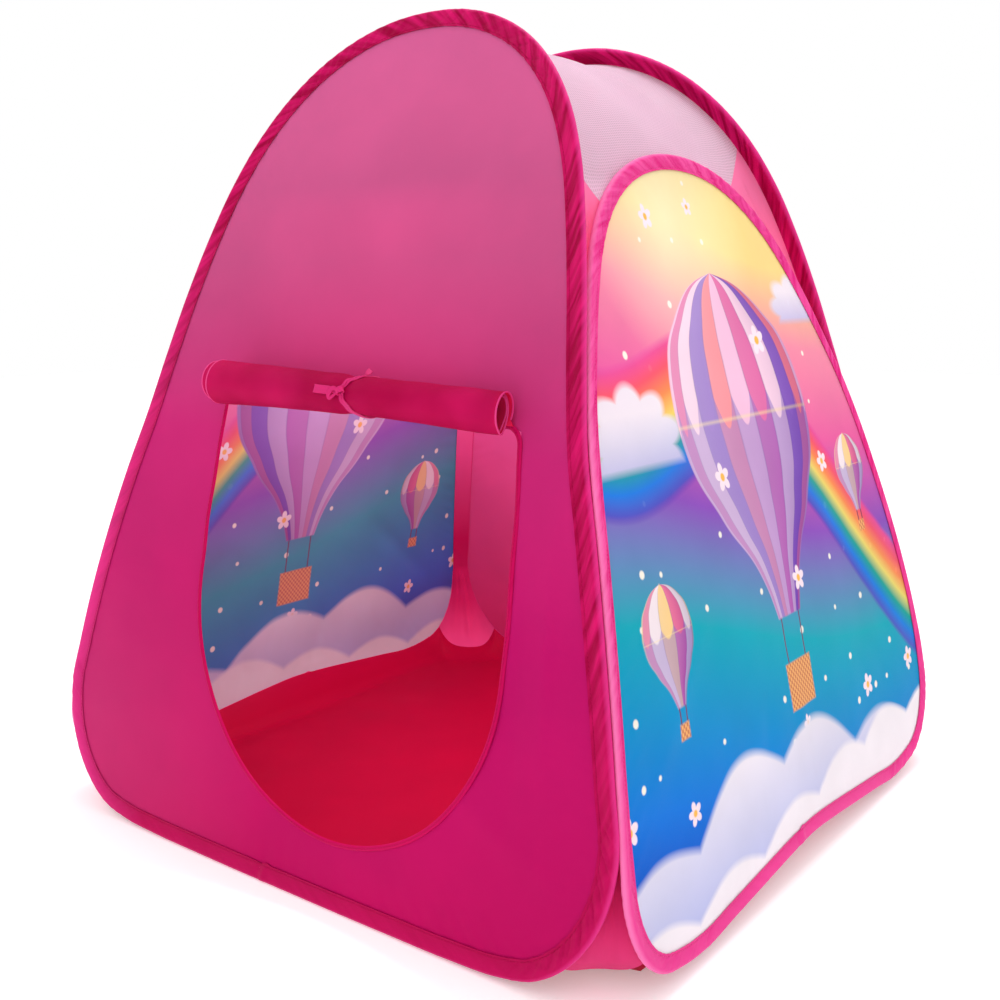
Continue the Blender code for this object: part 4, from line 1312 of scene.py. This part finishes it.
# %% Rolled flap
ROLL_RADIUS = 0.0205
ROLL_TAPER_SHARE = 0.30
ROLL_LENGTH = 0.390
ROLL_TURNS = 3.7
ROLL_PITCH = 0.0021
ROLL_STEPS = 30
ROLL_ACROSS = 130
ROLL_CLEAR = 0.0014
ROLL_UNEVEN = 0.00035
ROLL_DROOP = {"right": 0.0042, "left": 0.0018}
ROLL_NARROWING = {"right": 0.27, "left": 0.04}
LEFT_END = (0.0105, 0.0095, 0.050)
RIGHT_END = (0.0010, 0.0050, 0.045)
TIE_SIDE = 0.004
TIE_REACH = 0.010
TIE_PINCH = 0.0021
TIE_CRUSH = 0.0006
CRUSH_REACH = 0.022
SEAM_DROP = 0.0205
SEAM_OUT = 0.0011
SEWN_ABOVE = 0.0105
SEWN_ROWS = 5
BLEND_DEPTH = 0.002
WIND_START = math.radians(196)
HEM_RADIUS = 0.0009
HEM_OUT = 0.0005
flap_low, flap_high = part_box("door_flap")
tie_low, tie_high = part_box("flap_tie_band")
TIE_X = (tie_low.x + tie_high.x) / 2
flap_pink = satin_cloth("flap_pink", (200, 0, 84), (226, 20, 110), 0.46)
flap_inner = satin_cloth("flap_inner", (250, 24, 96), (255, 50, 120), 0.46)
hem_pink = satin_cloth("hem_pink", (240, 60, 144), (250, 96, 170))
roll_out = loops["front"].outward(np.array(SEAM_PLACE[2]))
roll_up = np.cross(roll_out, SEAM_RUN)


def on_seam_line(x):
    """Points of the flap's seam by place across."""
    return SEAM_PLACE + SEAM_RUN * ((x - SEAM_PLACE[0]) / SEAM_RUN[0])[..., None]


def roll_radius(x):
    """The roll's radius at a place across: it is thicker at its left."""
    return ROLL_RADIUS * (1 - ROLL_TAPER_SHARE * (x - TIE_X) / ROLL_LENGTH)


def roll_middle(x):
    """The roll's middle line."""
    return on_seam_line(x) + roll_out * (roll_radius(x) + ROLL_CLEAR)[..., None] + roll_up * SEAM_DROP


def roll_ends(turns):
    """Left and right ends of the flap by turns wound: inner layers stand out left and lie deeper right."""
    narrower = smooth_step(2.4, ROLL_TURNS, turns) ** 1.5
    left = flap_low.x + LEFT_END[0] - LEFT_END[1] * smooth_step(0.45, 1.1, turns) + LEFT_END[2] * narrower
    right = flap_high.x - RIGHT_END[0] - RIGHT_END[1] * smooth_step(0.6, 1.2, turns) - RIGHT_END[2] * narrower
    return left, right


def roll_point(turns, x):
    """Points of the roll by turns wound and place across."""
    angle = WIND_START - 2 * math.pi * turns
    radius = roll_radius(x) - CLOTH - ROLL_PITCH * np.maximum(0.0, turns - 0.35)
    outer = np.exp(-((turns - 0.4) / 1.2) ** 2)
    from_tie = x - TIE_X - TIE_SIDE
    pinch = TIE_PINCH * np.exp(-(from_tie / TIE_REACH) ** 2)
    crush = TIE_CRUSH * np.exp(-np.abs(from_tie) / CRUSH_REACH) * np.sin(11 * angle + 60 * (x - TIE_X))
    radius = radius + outer * (crush - pinch + ROLL_UNEVEN * soft_waves(x, angle * 0.02, 0.05, 3))
    right = smooth_step(0.06, 0.225, x)
    left = smooth_step(0.06, 0.165, -x)
    down = np.exp(-((np.angle(np.exp(1j * (angle + math.pi / 2 + 0.30)))) / 0.40) ** 2)
    radius = radius + (ROLL_DROOP["right"] * right + ROLL_DROOP["left"] * left) * down
    narrow = 1 - ROLL_NARROWING["right"] * right - ROLL_NARROWING["left"] * left
    return radius * np.cos(angle) * narrow, radius * np.sin(angle) * (1 + 0.06 * right)


def on_roll_line(turns, x):
    """The roll's points in the tent."""
    outward, upward = roll_point(turns, x)
    return roll_middle(x) + outward[..., None] * roll_out + upward[..., None] * roll_up


def flap_grid():
    """Rows of points down the flap from its seam, each across the flap."""
    turns = np.linspace(0, ROLL_TURNS, int(ROLL_TURNS * ROLL_STEPS) + 1)
    share = np.linspace(0, 1, ROLL_ACROSS + 1)
    left, right = roll_ends(turns)
    x = left[:, None] * (1 - share) + right[:, None] * share
    rolled = on_roll_line(turns[:, None] + 0 * x, x)
    start = on_seam_line(x[0]) + roll_up * SEWN_ABOVE + roll_out * SEAM_OUT
    seam = [start * (1 - part) + rolled[0] * part for part in np.linspace(0, 0.85, SEWN_ROWS)]
    return np.vstack([np.array(seam), rolled])


def build_hem(name, edge, way):
    """The hem down one side of the flap."""
    path = edge + (way * HEM_OUT, 0.0, 0.0)
    normals = unit(path - roll_middle(path[:, 0]))
    hem = sweep(f"flap_hem_{name}", path, normals, oval(HEM_RADIUS, HEM_RADIUS, 8), hem_pink)
    declare(hem, "flap")
    return hem


def build_flap():
    """The rolled flap and the hems down its two sides."""
    points = flap_grid()
    down = distance_along(points[:, ROLL_ACROSS // 2])
    wide = flap_high.x - flap_low.x
    across = np.linspace(-wide / 2, wide / 2, ROLL_ACROSS + 1)
    flap = sheet_from_grid("rolled_flap", points, down, across, [flap_inner, flap_pink])
    hems = [build_hem("left", points[SEWN_ROWS:, 0], -1), build_hem("right", points[SEWN_ROWS:, -1], 1)]
    sewn = points[0].mean(axis=0)
    way_in = unit(roll_middle(np.array(sewn[0])) - sewn)
    tuple(sewn + way_in * BLEND_DEPTH)
    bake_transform(flap)
    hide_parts("door_flap")
    print("flap", round(wide, 3), "wide", round(float(down[-1]), 3), "long")


build_flap()

# %% Ribbon round the roll
RIBBON_WIDTH = 0.0085
STRAND_WIDTH = 0.0036
TAIL_START_WIDTH = 0.0042
RIBBON_THICK = 0.0007
KNOT_WIDTH = 0.0062
KNOT_THICK = 0.0009
KNOT_LIFT = 0.0030
STRAND_APART = 0.0009
STRAND_SLIDE = 0.014
PART_OVER = 0.0026
PART_UNDER = 0.0012
WRAP_HALF_HIGH = 0.0026
WRAP_HALF_WIDE = 0.0044
BOW_START = 0.002
BOW_LENGTH = 0.010
BOW_RISE = 0.0045
BOW_LIFT = 0.0022
BOW_WIDTH = 0.0035
BOW_SWELL = 0.002
TAIL_LENGTH = 0.031
TAIL_LIFT = 0.0012
TAIL_ARCH = 0.0016
TUFT_PLACE = 0.012
TUFT_LIFT = 0.0016
TUFT_LENGTH = 0.009
TUFT_CURL = 0.002
TUFT_LEAN = 0.006
TUFT_WIDTH = 0.0035
TUFT_SPREAD = 0.0038
CAP_SCALE = 0.001
KNOT_ANGLE = math.radians(2)
ACROSS = np.array([1.0, 0.0, 0.0])
RIBBON_FACE = np.array([(-1.0, -0.5), (-0.86, -0.95), (-0.7, -0.5), (0.0, -0.4), (0.7, -0.5), (0.86, -0.95),
                        (1.0, -0.5)])
RIBBON_SECTION = np.vstack([RIBBON_FACE, RIBBON_FACE[::-1] * (1, -1)])
ribbon_pink = satin_cloth("ribbon_pink", (236, 50, 132), (250, 100, 168))


def ribbon_strip(name, path, normals, width, thick=RIBBON_THICK, node=None):
    """A flat ribbon with thicker woven edges along a path; its width may change."""
    half = np.broadcast_to(np.asarray(width) / 2, len(path))
    around = np.append(RIBBON_SECTION[:, 0], RIBBON_SECTION[0, 0]) * half.mean()
    made = sweep(name, path, normals, RIBBON_SECTION, ribbon_pink, around, half, thick, CAP_SCALE)
    declare(made, "flap", node)


def on_roll(angle, x, lift):
    """Points above the roll's outer layer by angle and place across, with the way out of the roll."""
    turns = (WIND_START - angle) / (2 * math.pi)
    point = on_roll_line(np.clip(turns, 0, 1) + 0 * x, x + 0 * turns)
    ray = unit(point - roll_middle(x + 0 * turns))
    return point + ray * lift, ray


def spot_on_roll(angle, x, lift):
    """One such point and its way out."""
    point, ray = on_roll(np.array([angle]), np.array([x]), lift)
    return point[0], ray[0]


def build_band():
    """The doubled ribbon round the roll: two strands that part over the top and meet at the knot in front."""
    angle = np.radians(np.linspace(150, -120, 60))
    from_knot = angle - KNOT_ANGLE
    slide = STRAND_SLIDE * (1 - np.cos(np.clip(from_knot, -1.9, 1.9))) / (1 - math.cos(1.4))
    part = PART_OVER * smooth_step(0.15, 1.2, from_knot) + PART_UNDER * smooth_step(0.1, 1.0, -from_knot)
    for name, way, node in (("left", -1, "flap_tie_band"), ("right", 1, None)):
        point, ray = on_roll(angle, TIE_X + slide + way * (STRAND_APART + part), RIBBON_THICK + CLOTH)
        ribbon_strip(f"ribbon_strand_{name}", point, ray, STRAND_WIDTH, node=node)


def build_knot():
    """The knot: a short wrap across the strands, with a small loop of ribbon above its left side."""
    centre, ray = spot_on_roll(KNOT_ANGLE, TIE_X, KNOT_LIFT)
    tangent = unit(np.cross(ray, ACROSS))
    slant = unit(ACROSS * 0.86 + tangent * 0.5)
    turn = np.linspace(0, 2 * math.pi, 26)[:, None]
    path = centre + np.cos(turn) * ray * WRAP_HALF_HIGH + np.sin(turn) * slant * WRAP_HALF_WIDE
    ribbon_strip("ribbon_knot", path, np.cos(turn) * ray + np.sin(turn) * slant, KNOT_WIDTH, KNOT_THICK,
                 "flap_tie_knot")
    t = np.linspace(0, 1, 22)[:, None]
    lobe = np.sin(math.pi * t)
    path = centre - ACROSS * (BOW_START + BOW_LENGTH * lobe)
    path = path + tangent * BOW_RISE * (np.sin(2 * math.pi * t) - lobe)
    normals = np.broadcast_to(ray, (len(t), 3)) + ACROSS * 0.6 * np.cos(math.pi * t)
    ribbon_strip("ribbon_bow", path + ray * BOW_LIFT * lobe, normals, (BOW_WIDTH + BOW_SWELL * lobe)[:, 0])


def build_tails():
    """One tail lies flat to the left; the other comes up over the roll and ends in a short tuft."""
    t = np.linspace(0, 1, 30)
    angle = math.radians(1) - 0.10 * t + 0.10 * t**2
    lift = TAIL_LIFT + TAIL_ARCH * np.sin(math.pi * t)[:, None]
    point, ray = on_roll(angle, TIE_X - TIE_SIDE - TAIL_LENGTH * t, lift)
    width = TAIL_START_WIDTH + (RIBBON_WIDTH - TAIL_START_WIDTH) * smooth_step(0.0, 0.35, t)
    ribbon_strip("ribbon_tail_left", point, ray, width, node="flap_tie_tail_left")
    start, ray = spot_on_roll(math.radians(84), TIE_X + TUFT_PLACE, TUFT_LIFT)
    rise = TUFT_LENGTH * t**1.2 + TUFT_CURL * np.sin(5 * t)
    path = start + ACROSS * (TUFT_LEAN * t)[:, None] + ray * rise[:, None]
    normals = np.broadcast_to(roll_out, path.shape) + ray * 0.2
    width = TUFT_WIDTH + TUFT_SPREAD * smooth_step(0.1, 0.8, t)
    ribbon_strip("ribbon_tail_right", path, normals, width, node="flap_tie_tail_right")


build_band()
build_knot()
build_tails()

# %% [markdown]
# The roof is one piece of fine net, sewn to the inner faces of the sleeves. It is taut from the front arch
# to the back one, and is drawn down to the side arches only near them, so its surface is ruled between the
# two big arches and a share that fades fast pulls it to the small ones. Because the tent folds flat, the
# net gathers towards each arch. So it is cut along its diagonals into four parts, and each part rides with
# its own arch.

# %% Roof net
ROOF_CELLS = 96
HALF_CELLS = ROOF_CELLS // 2
CORNER_CELLS = 12
SEAM_OUTWARD = -(LIP_HALF + 0.0010)
SIDE_PULL_POWER = 4
KINK_POWER = 22
KINK_WIDTH = 7
TOP_GUSSET_HEIGHTS = {"front": (0.757, 0.693), "back": (0.7785, 0.720)}
ROOF_SAG = 0.003
CORNER_SAG = 0.007
SEAM_PUCKER = 0.0005
SEAM_TUCKS = 26
TUCK_REACH = 0.05
NET_UNEVEN = 0.0022
NET_PITCH = 0.0034
NET_THICK = 0.0004
ROOF_PARTS = {"front": (0, -1), "back": (0, 1), "left": (-1, 0), "right": (1, 0)}


def net_look():
    """Pale net: threads across and along with holes between, drawn as see-through between the threads."""
    nodes = Nodes("roof_net")
    along, across, _ = nodes.split(nodes.cloth_map())
    rows = abs(nodes.sine(across, math.pi / NET_PITCH))
    posts = abs(nodes.sine(along, 2 * math.pi / NET_PITCH))
    open_share = nodes.span(rows, 0.25, 0.75) * nodes.span(posts, 0.2, 0.8, 0.35, 1.0)
    colour = nodes.mix(nodes.noise(nodes.place(), 6.0), (228, 204, 222), (242, 228, 240))
    colour = nodes.mix(nodes.span(rows, 0.0, 0.45, 0.30, 0.0), colour, (214, 150, 186))
    finish_cloth(nodes, colour, roughness=0.7, through=0.45, weave_depth=0.05)
    clear = nodes.value("ShaderNodeBsdfTransparent", "BSDF")
    return nodes.cover(nodes.span(open_share, 0.0, 1.0, 0.02, 0.34), clear)


roof_net = net_look()


def on_seam(loop, distance):
    """Points where other sheets are sewn to a sleeve, by distance from its crown."""
    return loop.place(distance, loop.seam, SEAM_OUTWARD)


def corner_ways(end, side):
    """Which way each loop runs from its crown to the corner that they share."""
    clockwise = (QUARTER_TURNS[side] - QUARTER_TURNS[end]) % 4 == 1
    return (1, -1) if clockwise else (-1, 1)


def corner_curve(end, side):
    """A line across a corner from an end loop's seam to a side loop's, sagging between."""
    here, there = (on_seam(loops[name], way * loops[name].at_height(height)) for name, way, height
                   in zip((end, side), corner_ways(end, side), TOP_GUSSET_HEIGHTS[end]))
    t = np.linspace(0, 1, CORNER_CELLS + 1)[:, None]
    return here * (1 - t) + there * t - np.array([0, 0, CORNER_SAG]) * 4 * t * (1 - t)


def softened(line, width):
    """A line with its kinks rounded off."""
    reach = 3 * width
    weight = np.exp(-(np.arange(-reach, reach + 1) / width) ** 2 / 2)
    weight /= weight.sum()
    longer = np.vstack([2 * line[0] - line[reach:0:-1], line, 2 * line[-1] - line[-2:-reach - 2:-1]])
    return np.stack([np.convolve(column, weight, "valid") for column in longer.T], axis=1)


def end_line(name, way):
    """The roof's seam over an end loop's crown, from left to right."""
    reach = loops[name].at_height(TOP_GUSSET_HEIGHTS[name][0])
    return on_seam(loops[name], way * np.linspace(-reach, reach, ROOF_CELLS + 1))


def side_line(name, way):
    """The roof's edge at a side, from front to back: a corner, the seam over the crown and a corner."""
    front, back = (loops["right"].at_height(TOP_GUSSET_HEIGHTS[end][1]) for end in ("front", "back"))
    over = on_seam(loops[name], way * np.linspace(-front, back, ROOF_CELLS - 2 * CORNER_CELLS + 1))
    return np.vstack([corner_curve("front", name)[:-1], over, corner_curve("back", name)[::-1][1:]])


def roof_grid():
    """Points of the roof by place from left to right and from front to back."""
    front_line, back_line = end_line("front", 1), end_line("back", -1)
    s = np.linspace(0, 1, ROOF_CELLS + 1)[None, :, None]
    t = np.linspace(0, 1, ROOF_CELLS + 1)[:, None, None]
    points = front_line[None] * (1 - t) + back_line[None] * t
    for line, share, column in ((side_line("left", -1), 1 - s, 0), (side_line("right", 1), s, -1)):
        chord = front_line[column] * (1 - t) + back_line[column] * t
        exact = share ** KINK_POWER
        pull = (line[:, None] - chord) * exact + (softened(line, KINK_WIDTH)[:, None] - chord) * (1 - exact)
        points = points + pull * share**SIDE_PULL_POWER
    dip = 16 * s * (1 - s) * t * (1 - t)
    from_side, from_end = np.minimum(s, 1 - s), np.minimum(t, 1 - t)
    turns = 2 * math.pi * SEAM_TUCKS
    tucks = np.sin(turns * s) * np.exp(-from_end / TUCK_REACH)
    tucks = tucks + np.sin(turns * t) * np.exp(-from_side / TUCK_REACH)
    lower = ROOF_SAG * dip + SEAM_PUCKER * tucks * smooth_step(0.0, 0.02, np.minimum(from_side, from_end))
    uneven = soft_waves(s * 0.5 + 0 * t, t * 0.5 + 0 * s, 0.16, 77)
    points[..., 2] -= (lower + NET_UNEVEN * uneven * np.minimum(dip * 3, 1))[..., 0]
    return points


def cells_of_part(way):
    """Faces of one quarter of the roof's grid, cut along the diagonals."""
    width = ROOF_CELLS + 1
    faces = []
    for j in range(ROOF_CELLS):
        for i in range(ROOF_CELLS):
            a, b = j * width + i, j * width + i + 1
            c, d = b + width, a + width
            pieces = ((a, b, c, d),)
            if i == j:
                pieces = ((a, b, c), (a, c, d))
            elif i + j == ROOF_CELLS - 1:
                pieces = ((a, b, d), (b, c, d))
            for piece in pieces:
                u = sum(k % width for k in piece) / len(piece) / ROOF_CELLS - 0.5
                v = sum(k // width for k in piece) / len(piece) / ROOF_CELLS - 0.5
                side = (0, int(np.sign(v))) if abs(v) > abs(u) else (int(np.sign(u)), 0)
                if side == way:
                    faces.append(piece)
    return faces


def part_object(name, points, faces, look, normals, thickness):
    """A sheet from some of a grid's faces, with the whole sheet's normals and its thickness at each point."""
    used = sorted({k for face in faces for k in face})
    renumber = {k: i for i, k in enumerate(used)}
    listed = [[renumber[k] for k in face] for face in faces]
    corner_map = [points[list(face)][:, :2] for face in faces]
    return cloth_object(name, points[used], listed, corner_map, [look], thickness[used], normals[used])


def arch_plane(line):
    """The mean plane of a line of points: a point on it and the way across it."""
    middle = line.mean(axis=0)
    _, _, axes = np.linalg.svd(line - middle)
    return middle, axes[2]


def fold_flat(piece, body):
    """Let a piece ride with its wall, with a mesh of its own."""
    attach(piece, body)
    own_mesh(piece)


def build_roof():
    """Four parts of one net, each on its own arch."""
    grid = roof_grid()
    points = grid.reshape(-1, 3)
    parts = {body: cells_of_part(way) for body, way in ROOF_PARTS.items()}
    normals = point_normals(points, [face for faces in parts.values() for face in faces])
    users = np.zeros(len(points))
    for faces in parts.values():
        users[sorted({k for face in faces for k in face})] += 1
    thickness = NET_THICK * np.where(users > 1, MEETING_SHARE, 1.0)
    edges = {"front": grid[0], "back": grid[-1], "left": grid[:, 0], "right": grid[:, -1]}
    for body, faces in parts.items():
        part = part_object(f"roof_net_{body}", points, faces, roof_net, normals, thickness)
        anchor, axis = arch_plane(edges[body])
        if loops[body].kind == "side":
            axis = unit(grid[HALF_CELLS, HALF_CELLS] - anchor)
        fold_flat(part, body)
        if body == "right":
            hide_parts("roof_mesh")
        print(part.name, len(faces), "faces, area", round(cloth_area(part), 4))


build_roof()

# %% [markdown]
# Gussets close the corners over and under the stretch where the walls meet. Each is a strip between two
# loops' seams with a little too much cloth, so it hangs in soft folds, and a narrow strip joins the two
# gussets of a corner. A piece that crosses a hinge stays whole and rides with no wall; at the front left
# corner, where no hinge joins the walls, it is two halves, each riding with its own wall.

# %% Gussets
RIDGE_TOP = 0.470
RIDGE_FOOT = 0.150
LOW_FEET = {"end": 0.0324, "side": 0.0369}
GUSSET_COLUMNS = 24
HALF_COLUMNS = GUSSET_COLUMNS // 2
CORNER_DROP = 0.028
CORNER_TUCK = 0.020
FULL_DEPTH_SPAN = 0.08
HINGES = {("front", "right"): ("right", "front"), ("back", "right"): ("right", "back"),
          ("back", "left"): ("back", "left")}
GUSSET_KINDS = {"top": (RIDGE_TOP, (-0.010, -0.010), 0.0050, CORNER_SAG, 40),
                "low": (RIDGE_FOOT, (-0.008, 0.007), 0.0024, None, 40),
                "middle": (RIDGE_FOOT, (0.0, 0.0), 0.0, 0.0, 24)}
# The gussets' pinks by height: palest at the top, painted light that comes through from behind; deeper
# between about 0.09 and 0.20 m, paler again at the foot.
gusset_pink = wall_pink("gusset_pink", ((0.0, (240, 84, 152)), (0.09, (226, 40, 116)), (0.20, (222, 24, 104)),
                                         (0.35, (250, 90, 166)), (0.66, (255, 138, 190))))


def corner_shift(here, there, share):
    """How far the foot of a corner hangs down and in between two loops, by share of the way across."""
    out_of_corner = unit(np.array([here[0] + there[0], here[1] + there[1], 0.0]))
    down = np.array([0.0, 0.0, CORNER_DROP]) * (1 - (2 * share - 1) ** 4)
    return -down - out_of_corner * CORNER_TUCK * (1 - (2 * share - 1) ** 2)


def seam_at(name, way, heights):
    """Points of a loop's seam at heights on one of its sides."""
    return on_seam(loops[name], way * np.array([loops[name].at_height(height) for height in heights]))


def gusset_grid(end, side, start, finish, seed, bulges, fold, sag, rows):
    """Rows of points from the end wall's seam to the side wall's, from one height to two others."""
    t = np.linspace(0, 1, rows + 1)
    here, there = (seam_at(name, way, start + (last - start) * t)
                   for name, way, last in zip((end, side), corner_ways(end, side), finish))
    s = np.linspace(0, 1, GUSSET_COLUMNS + 1)[None, :, None]
    points = here[:, None] * (1 - s) + there[:, None] * s
    span = np.linalg.norm(there - here, axis=1)[:, None]
    outward = unit(np.array([points[..., 0].mean(), points[..., 1].mean(), 0.0]))
    share, t = s[..., 0], t[:, None]
    folds = 0.6 * np.sin(2 * math.pi * 2.3 * share + 2.2 * t + seed)
    folds = folds + 0.4 * np.sin(2 * math.pi * 4.7 * share - 2.9 * t + 2 * seed)
    depth = np.minimum(1.0, span / FULL_DEPTH_SPAN) * smooth_step(0.0, 0.2, t)
    depth = depth * (1 - smooth_step(0.82, 1.0, t))
    bulge = bulges[0] + (bulges[1] - bulges[0]) * smooth_step(0.40, 0.70, t)
    points = points + outward * ((bulge + fold * folds) * np.sin(math.pi * share) * depth)[..., None]
    lower_half = smooth_step(0.35, 1.0, t)
    if sag is None:
        points = points + corner_shift(here[-1], there[-1], s) * lower_half[..., None]
    else:
        points[..., 2] -= sag * lower_half * (1 - (2 * share - 1) ** 2)
    places = np.stack([share * span.mean() + 0 * t, points[..., 2]], axis=-1)
    return points, places, {end: here.mean(axis=0), side: there.mean(axis=0)}


def build_gusset(end, side, level, seed):
    """One gusset or joining strip, in two halves where no joint joins its walls."""
    start, bulges, fold, sag, rows = GUSSET_KINDS[level]
    finish = {"top": TOP_GUSSET_HEIGHTS[end], "low": tuple(LOW_FEET.values()),
              "middle": (RIDGE_TOP, RIDGE_TOP)}
    points, places, edges = gusset_grid(end, side, start, finish[level], seed, bulges, fold, sag, rows)
    outwards = np.cross(points[1, 0] - points[0, 0], points[0, -1] - points[0, 0]) @ points[0, 0] < 0

    def faces_of(grid):
        """A grid's faces, turned out of the tent."""
        faces = grid_corners(*grid.shape[:2])[0]
        return faces if outwards else faces[:, ::-1]

    normals = point_normals(points.reshape(-1, 3), faces_of(points)).reshape(points.shape)
    thickness = np.full(points.shape[:2], CLOTH)
    thickness[[0, -1]] *= MEETING_SHARE
    parts = [("", slice(0, None), None)]
    if (end, side) not in HINGES:
        thickness[1:-1, HALF_COLUMNS] *= MEETING_SHARE
        parts = [("_front_half", slice(0, HALF_COLUMNS + 1), "front"),
                 ("_left_half", slice(HALF_COLUMNS, None), "left")]
    for suffix, columns, body in parts:
        grid, flat = points[:, columns], places[:, columns].reshape(-1, 2)
        faces = faces_of(grid)
        piece = cloth_object(f"{end}_{side}_{level}_corner{suffix}", grid.reshape(-1, 3), faces, flat[faces],
                             [gusset_pink], thickness[:, columns].ravel(), normals[:, columns].reshape(-1, 3))
        if body:
            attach(piece, body)
        else:
            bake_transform(piece)
        if level != "middle" and columns.start == 0:
            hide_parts(f"{end}_{side}_{level}_gusset")


corners = [(end, side, level)
           for end in ("front", "back") for side in ("right", "left") for level in GUSSET_KINDS]
for seed, corner in enumerate(corners):
    build_gusset(*corner, seed)
print(len(corners), "gussets and joining strips")

# %% [markdown]
# The groundsheet lies flat and is drawn up at its edges to the seams of the four walls. Like the roof it is
# made in four parts that meet in the middle, so that each rides with its own wall when the tent is folded.

# %% Groundsheet
FLOOR_FOOT_STEPS = 72
FLOOR_CHAMFER_STEPS = 10
FLOOR_RINGS = 40
FLOOR_RISE_SHARE = 0.90
FLOOR_UNEVEN = ((0.0016, 0.17), (0.0012, 0.07))
floor_crimson = wall_pink("floor_crimson", ((0.0, (196, 0, 58)), (0.1, (204, 2, 70))))


def floor_edge():
    """The groundsheet's edge round the four feet, with each foot followed by the corner after it."""
    feet = []
    for loop in loops.values():
        corner = loop.at_height(LOW_FEET[loop.kind])
        feet.append(on_seam(loop, np.linspace(loop.length - corner, corner, FLOOR_FOOT_STEPS)))
    edge = []
    t = np.linspace(0, 1, 2 * FLOOR_CHAMFER_STEPS + 1)[1:-1, None]
    for here, after in zip(feet, feet[1:] + feet[:1]):
        edge += [here, here[-1] * (1 - t) + after[0] * t + corner_shift(here[-1], after[0], t)]
    return np.vstack(edge)


def floor_rings():
    """Rings of points from the groundsheet's edge to its middle."""
    edge = floor_edge()
    share = np.linspace(1, 0, FLOOR_RINGS + 1)[:, None]
    rise = smooth_step(FLOOR_RISE_SHARE, 1.0, share) ** 1.4
    x, y = (edge[None, :, k] * share**0.96 for k in (0, 1))
    (depth, scale), (fine_depth, fine_scale) = FLOOR_UNEVEN
    ripple = depth * (1 + soft_waves(x, y, scale, 91))
    ripple += fine_depth * (1 + soft_waves(x, y, fine_scale, 92)) * smooth_step(0.4, 0.9, share)
    z = CLOTH + (ripple * smooth_step(0.0, 0.1, 1 - share) + CLOTH) * (1 - rise) + edge[None, :, 2] * rise
    return np.stack([x, y, z], axis=-1)


def build_floor():
    """Four parts of the groundsheet."""
    points = floor_rings()
    total = points.shape[1]
    per_wall = total // 4
    whole, _, _ = grid_corners(FLOOR_RINGS, total, True)
    normals = point_normals(points[:-1].reshape(-1, 3), whole).reshape(FLOOR_RINGS, total, 3)
    for quarter, body in enumerate(QUARTER_TURNS):
        columns = (np.arange(per_wall + 1) - FLOOR_CHAMFER_STEPS + quarter * per_wall) % total
        grid = points[:-1][:, columns]
        rows, wide = grid.shape[:2]
        pole = rows * wide
        faces = [list(face) for face in grid_corners(rows, wide)[0]]
        faces += [[pole - wide + k, pole - wide + k + 1, pole] for k in range(wide - 1)]
        corners = np.vstack([grid.reshape(-1, 3), points[-1].mean(axis=0)])
        ways = np.vstack([normals[:, columns].reshape(-1, 3), (0.0, 0.0, 1.0)])
        thickness = np.full(grid.shape[:2], CLOTH)
        thickness[:, [0, -1]] *= MEETING_SHARE
        thickness = np.append(thickness.ravel(), CLOTH * MEETING_SHARE)
        corner_map = [corners[face][:, :2] for face in faces]
        part = cloth_object(f"groundsheet_{body}", corners, faces, corner_map, [floor_crimson],
                            thickness, ways)
        fold_flat(part, body)
        if body == "right":
            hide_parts("floor")
        print(part.name, "area", round(cloth_area(part), 4))


build_floor()

# %% [markdown]
# Steel shows only where a sleeve is opened, but it is there: spring wire with drawn-wire streaks, and
# ferrules crimped over its ends. The frame's own meshes stay, with these finishes in their material slots.

# %% Metals
GRAIN_SHADE = 0.72
GRAIN_DEPTH = 0.0002


def steel(name, colour, roughness, streak):
    """Drawn steel: brightness and gloss vary in fine noise."""
    nodes = Nodes(name)
    grain = nodes.noise(nodes.place(), streak, 4.0)
    nodes.feed(nodes.shader, {
        "Base Color": nodes.mix(grain, colour, tuple(value * GRAIN_SHADE for value in colour)),
        "Metallic": 1.0,
        "Roughness": nodes.span(grain, 0.2, 0.8, roughness - 0.08, roughness + 0.1),
        "Normal": nodes.bump(grain, 0.2, GRAIN_DEPTH)})
    return nodes.material


METALS = {"wire": ("spring_wire", steel("spring_steel", (176, 178, 182), 0.34, 420.0)),
          "ferrule": ("ferrule", steel("zinc_ferrule", (196, 198, 200), 0.42, 260.0))}
for name in QUARTER_TURNS:
    for part, (slot, look) in METALS.items():
        item = frame["nodes"][f"{name}_{part}"]
        item.data.materials.clear()
        item.data.materials.append(look)

# %% Measure the boxes
visual_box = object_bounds()
sizes = {"cad": [list(corner) for corner in cad_box], "visual": [list(corner) for corner in visual_box]}
for key, corners in sizes.items():
    print(key, [round(value, 4) for corner in corners for value in corner])
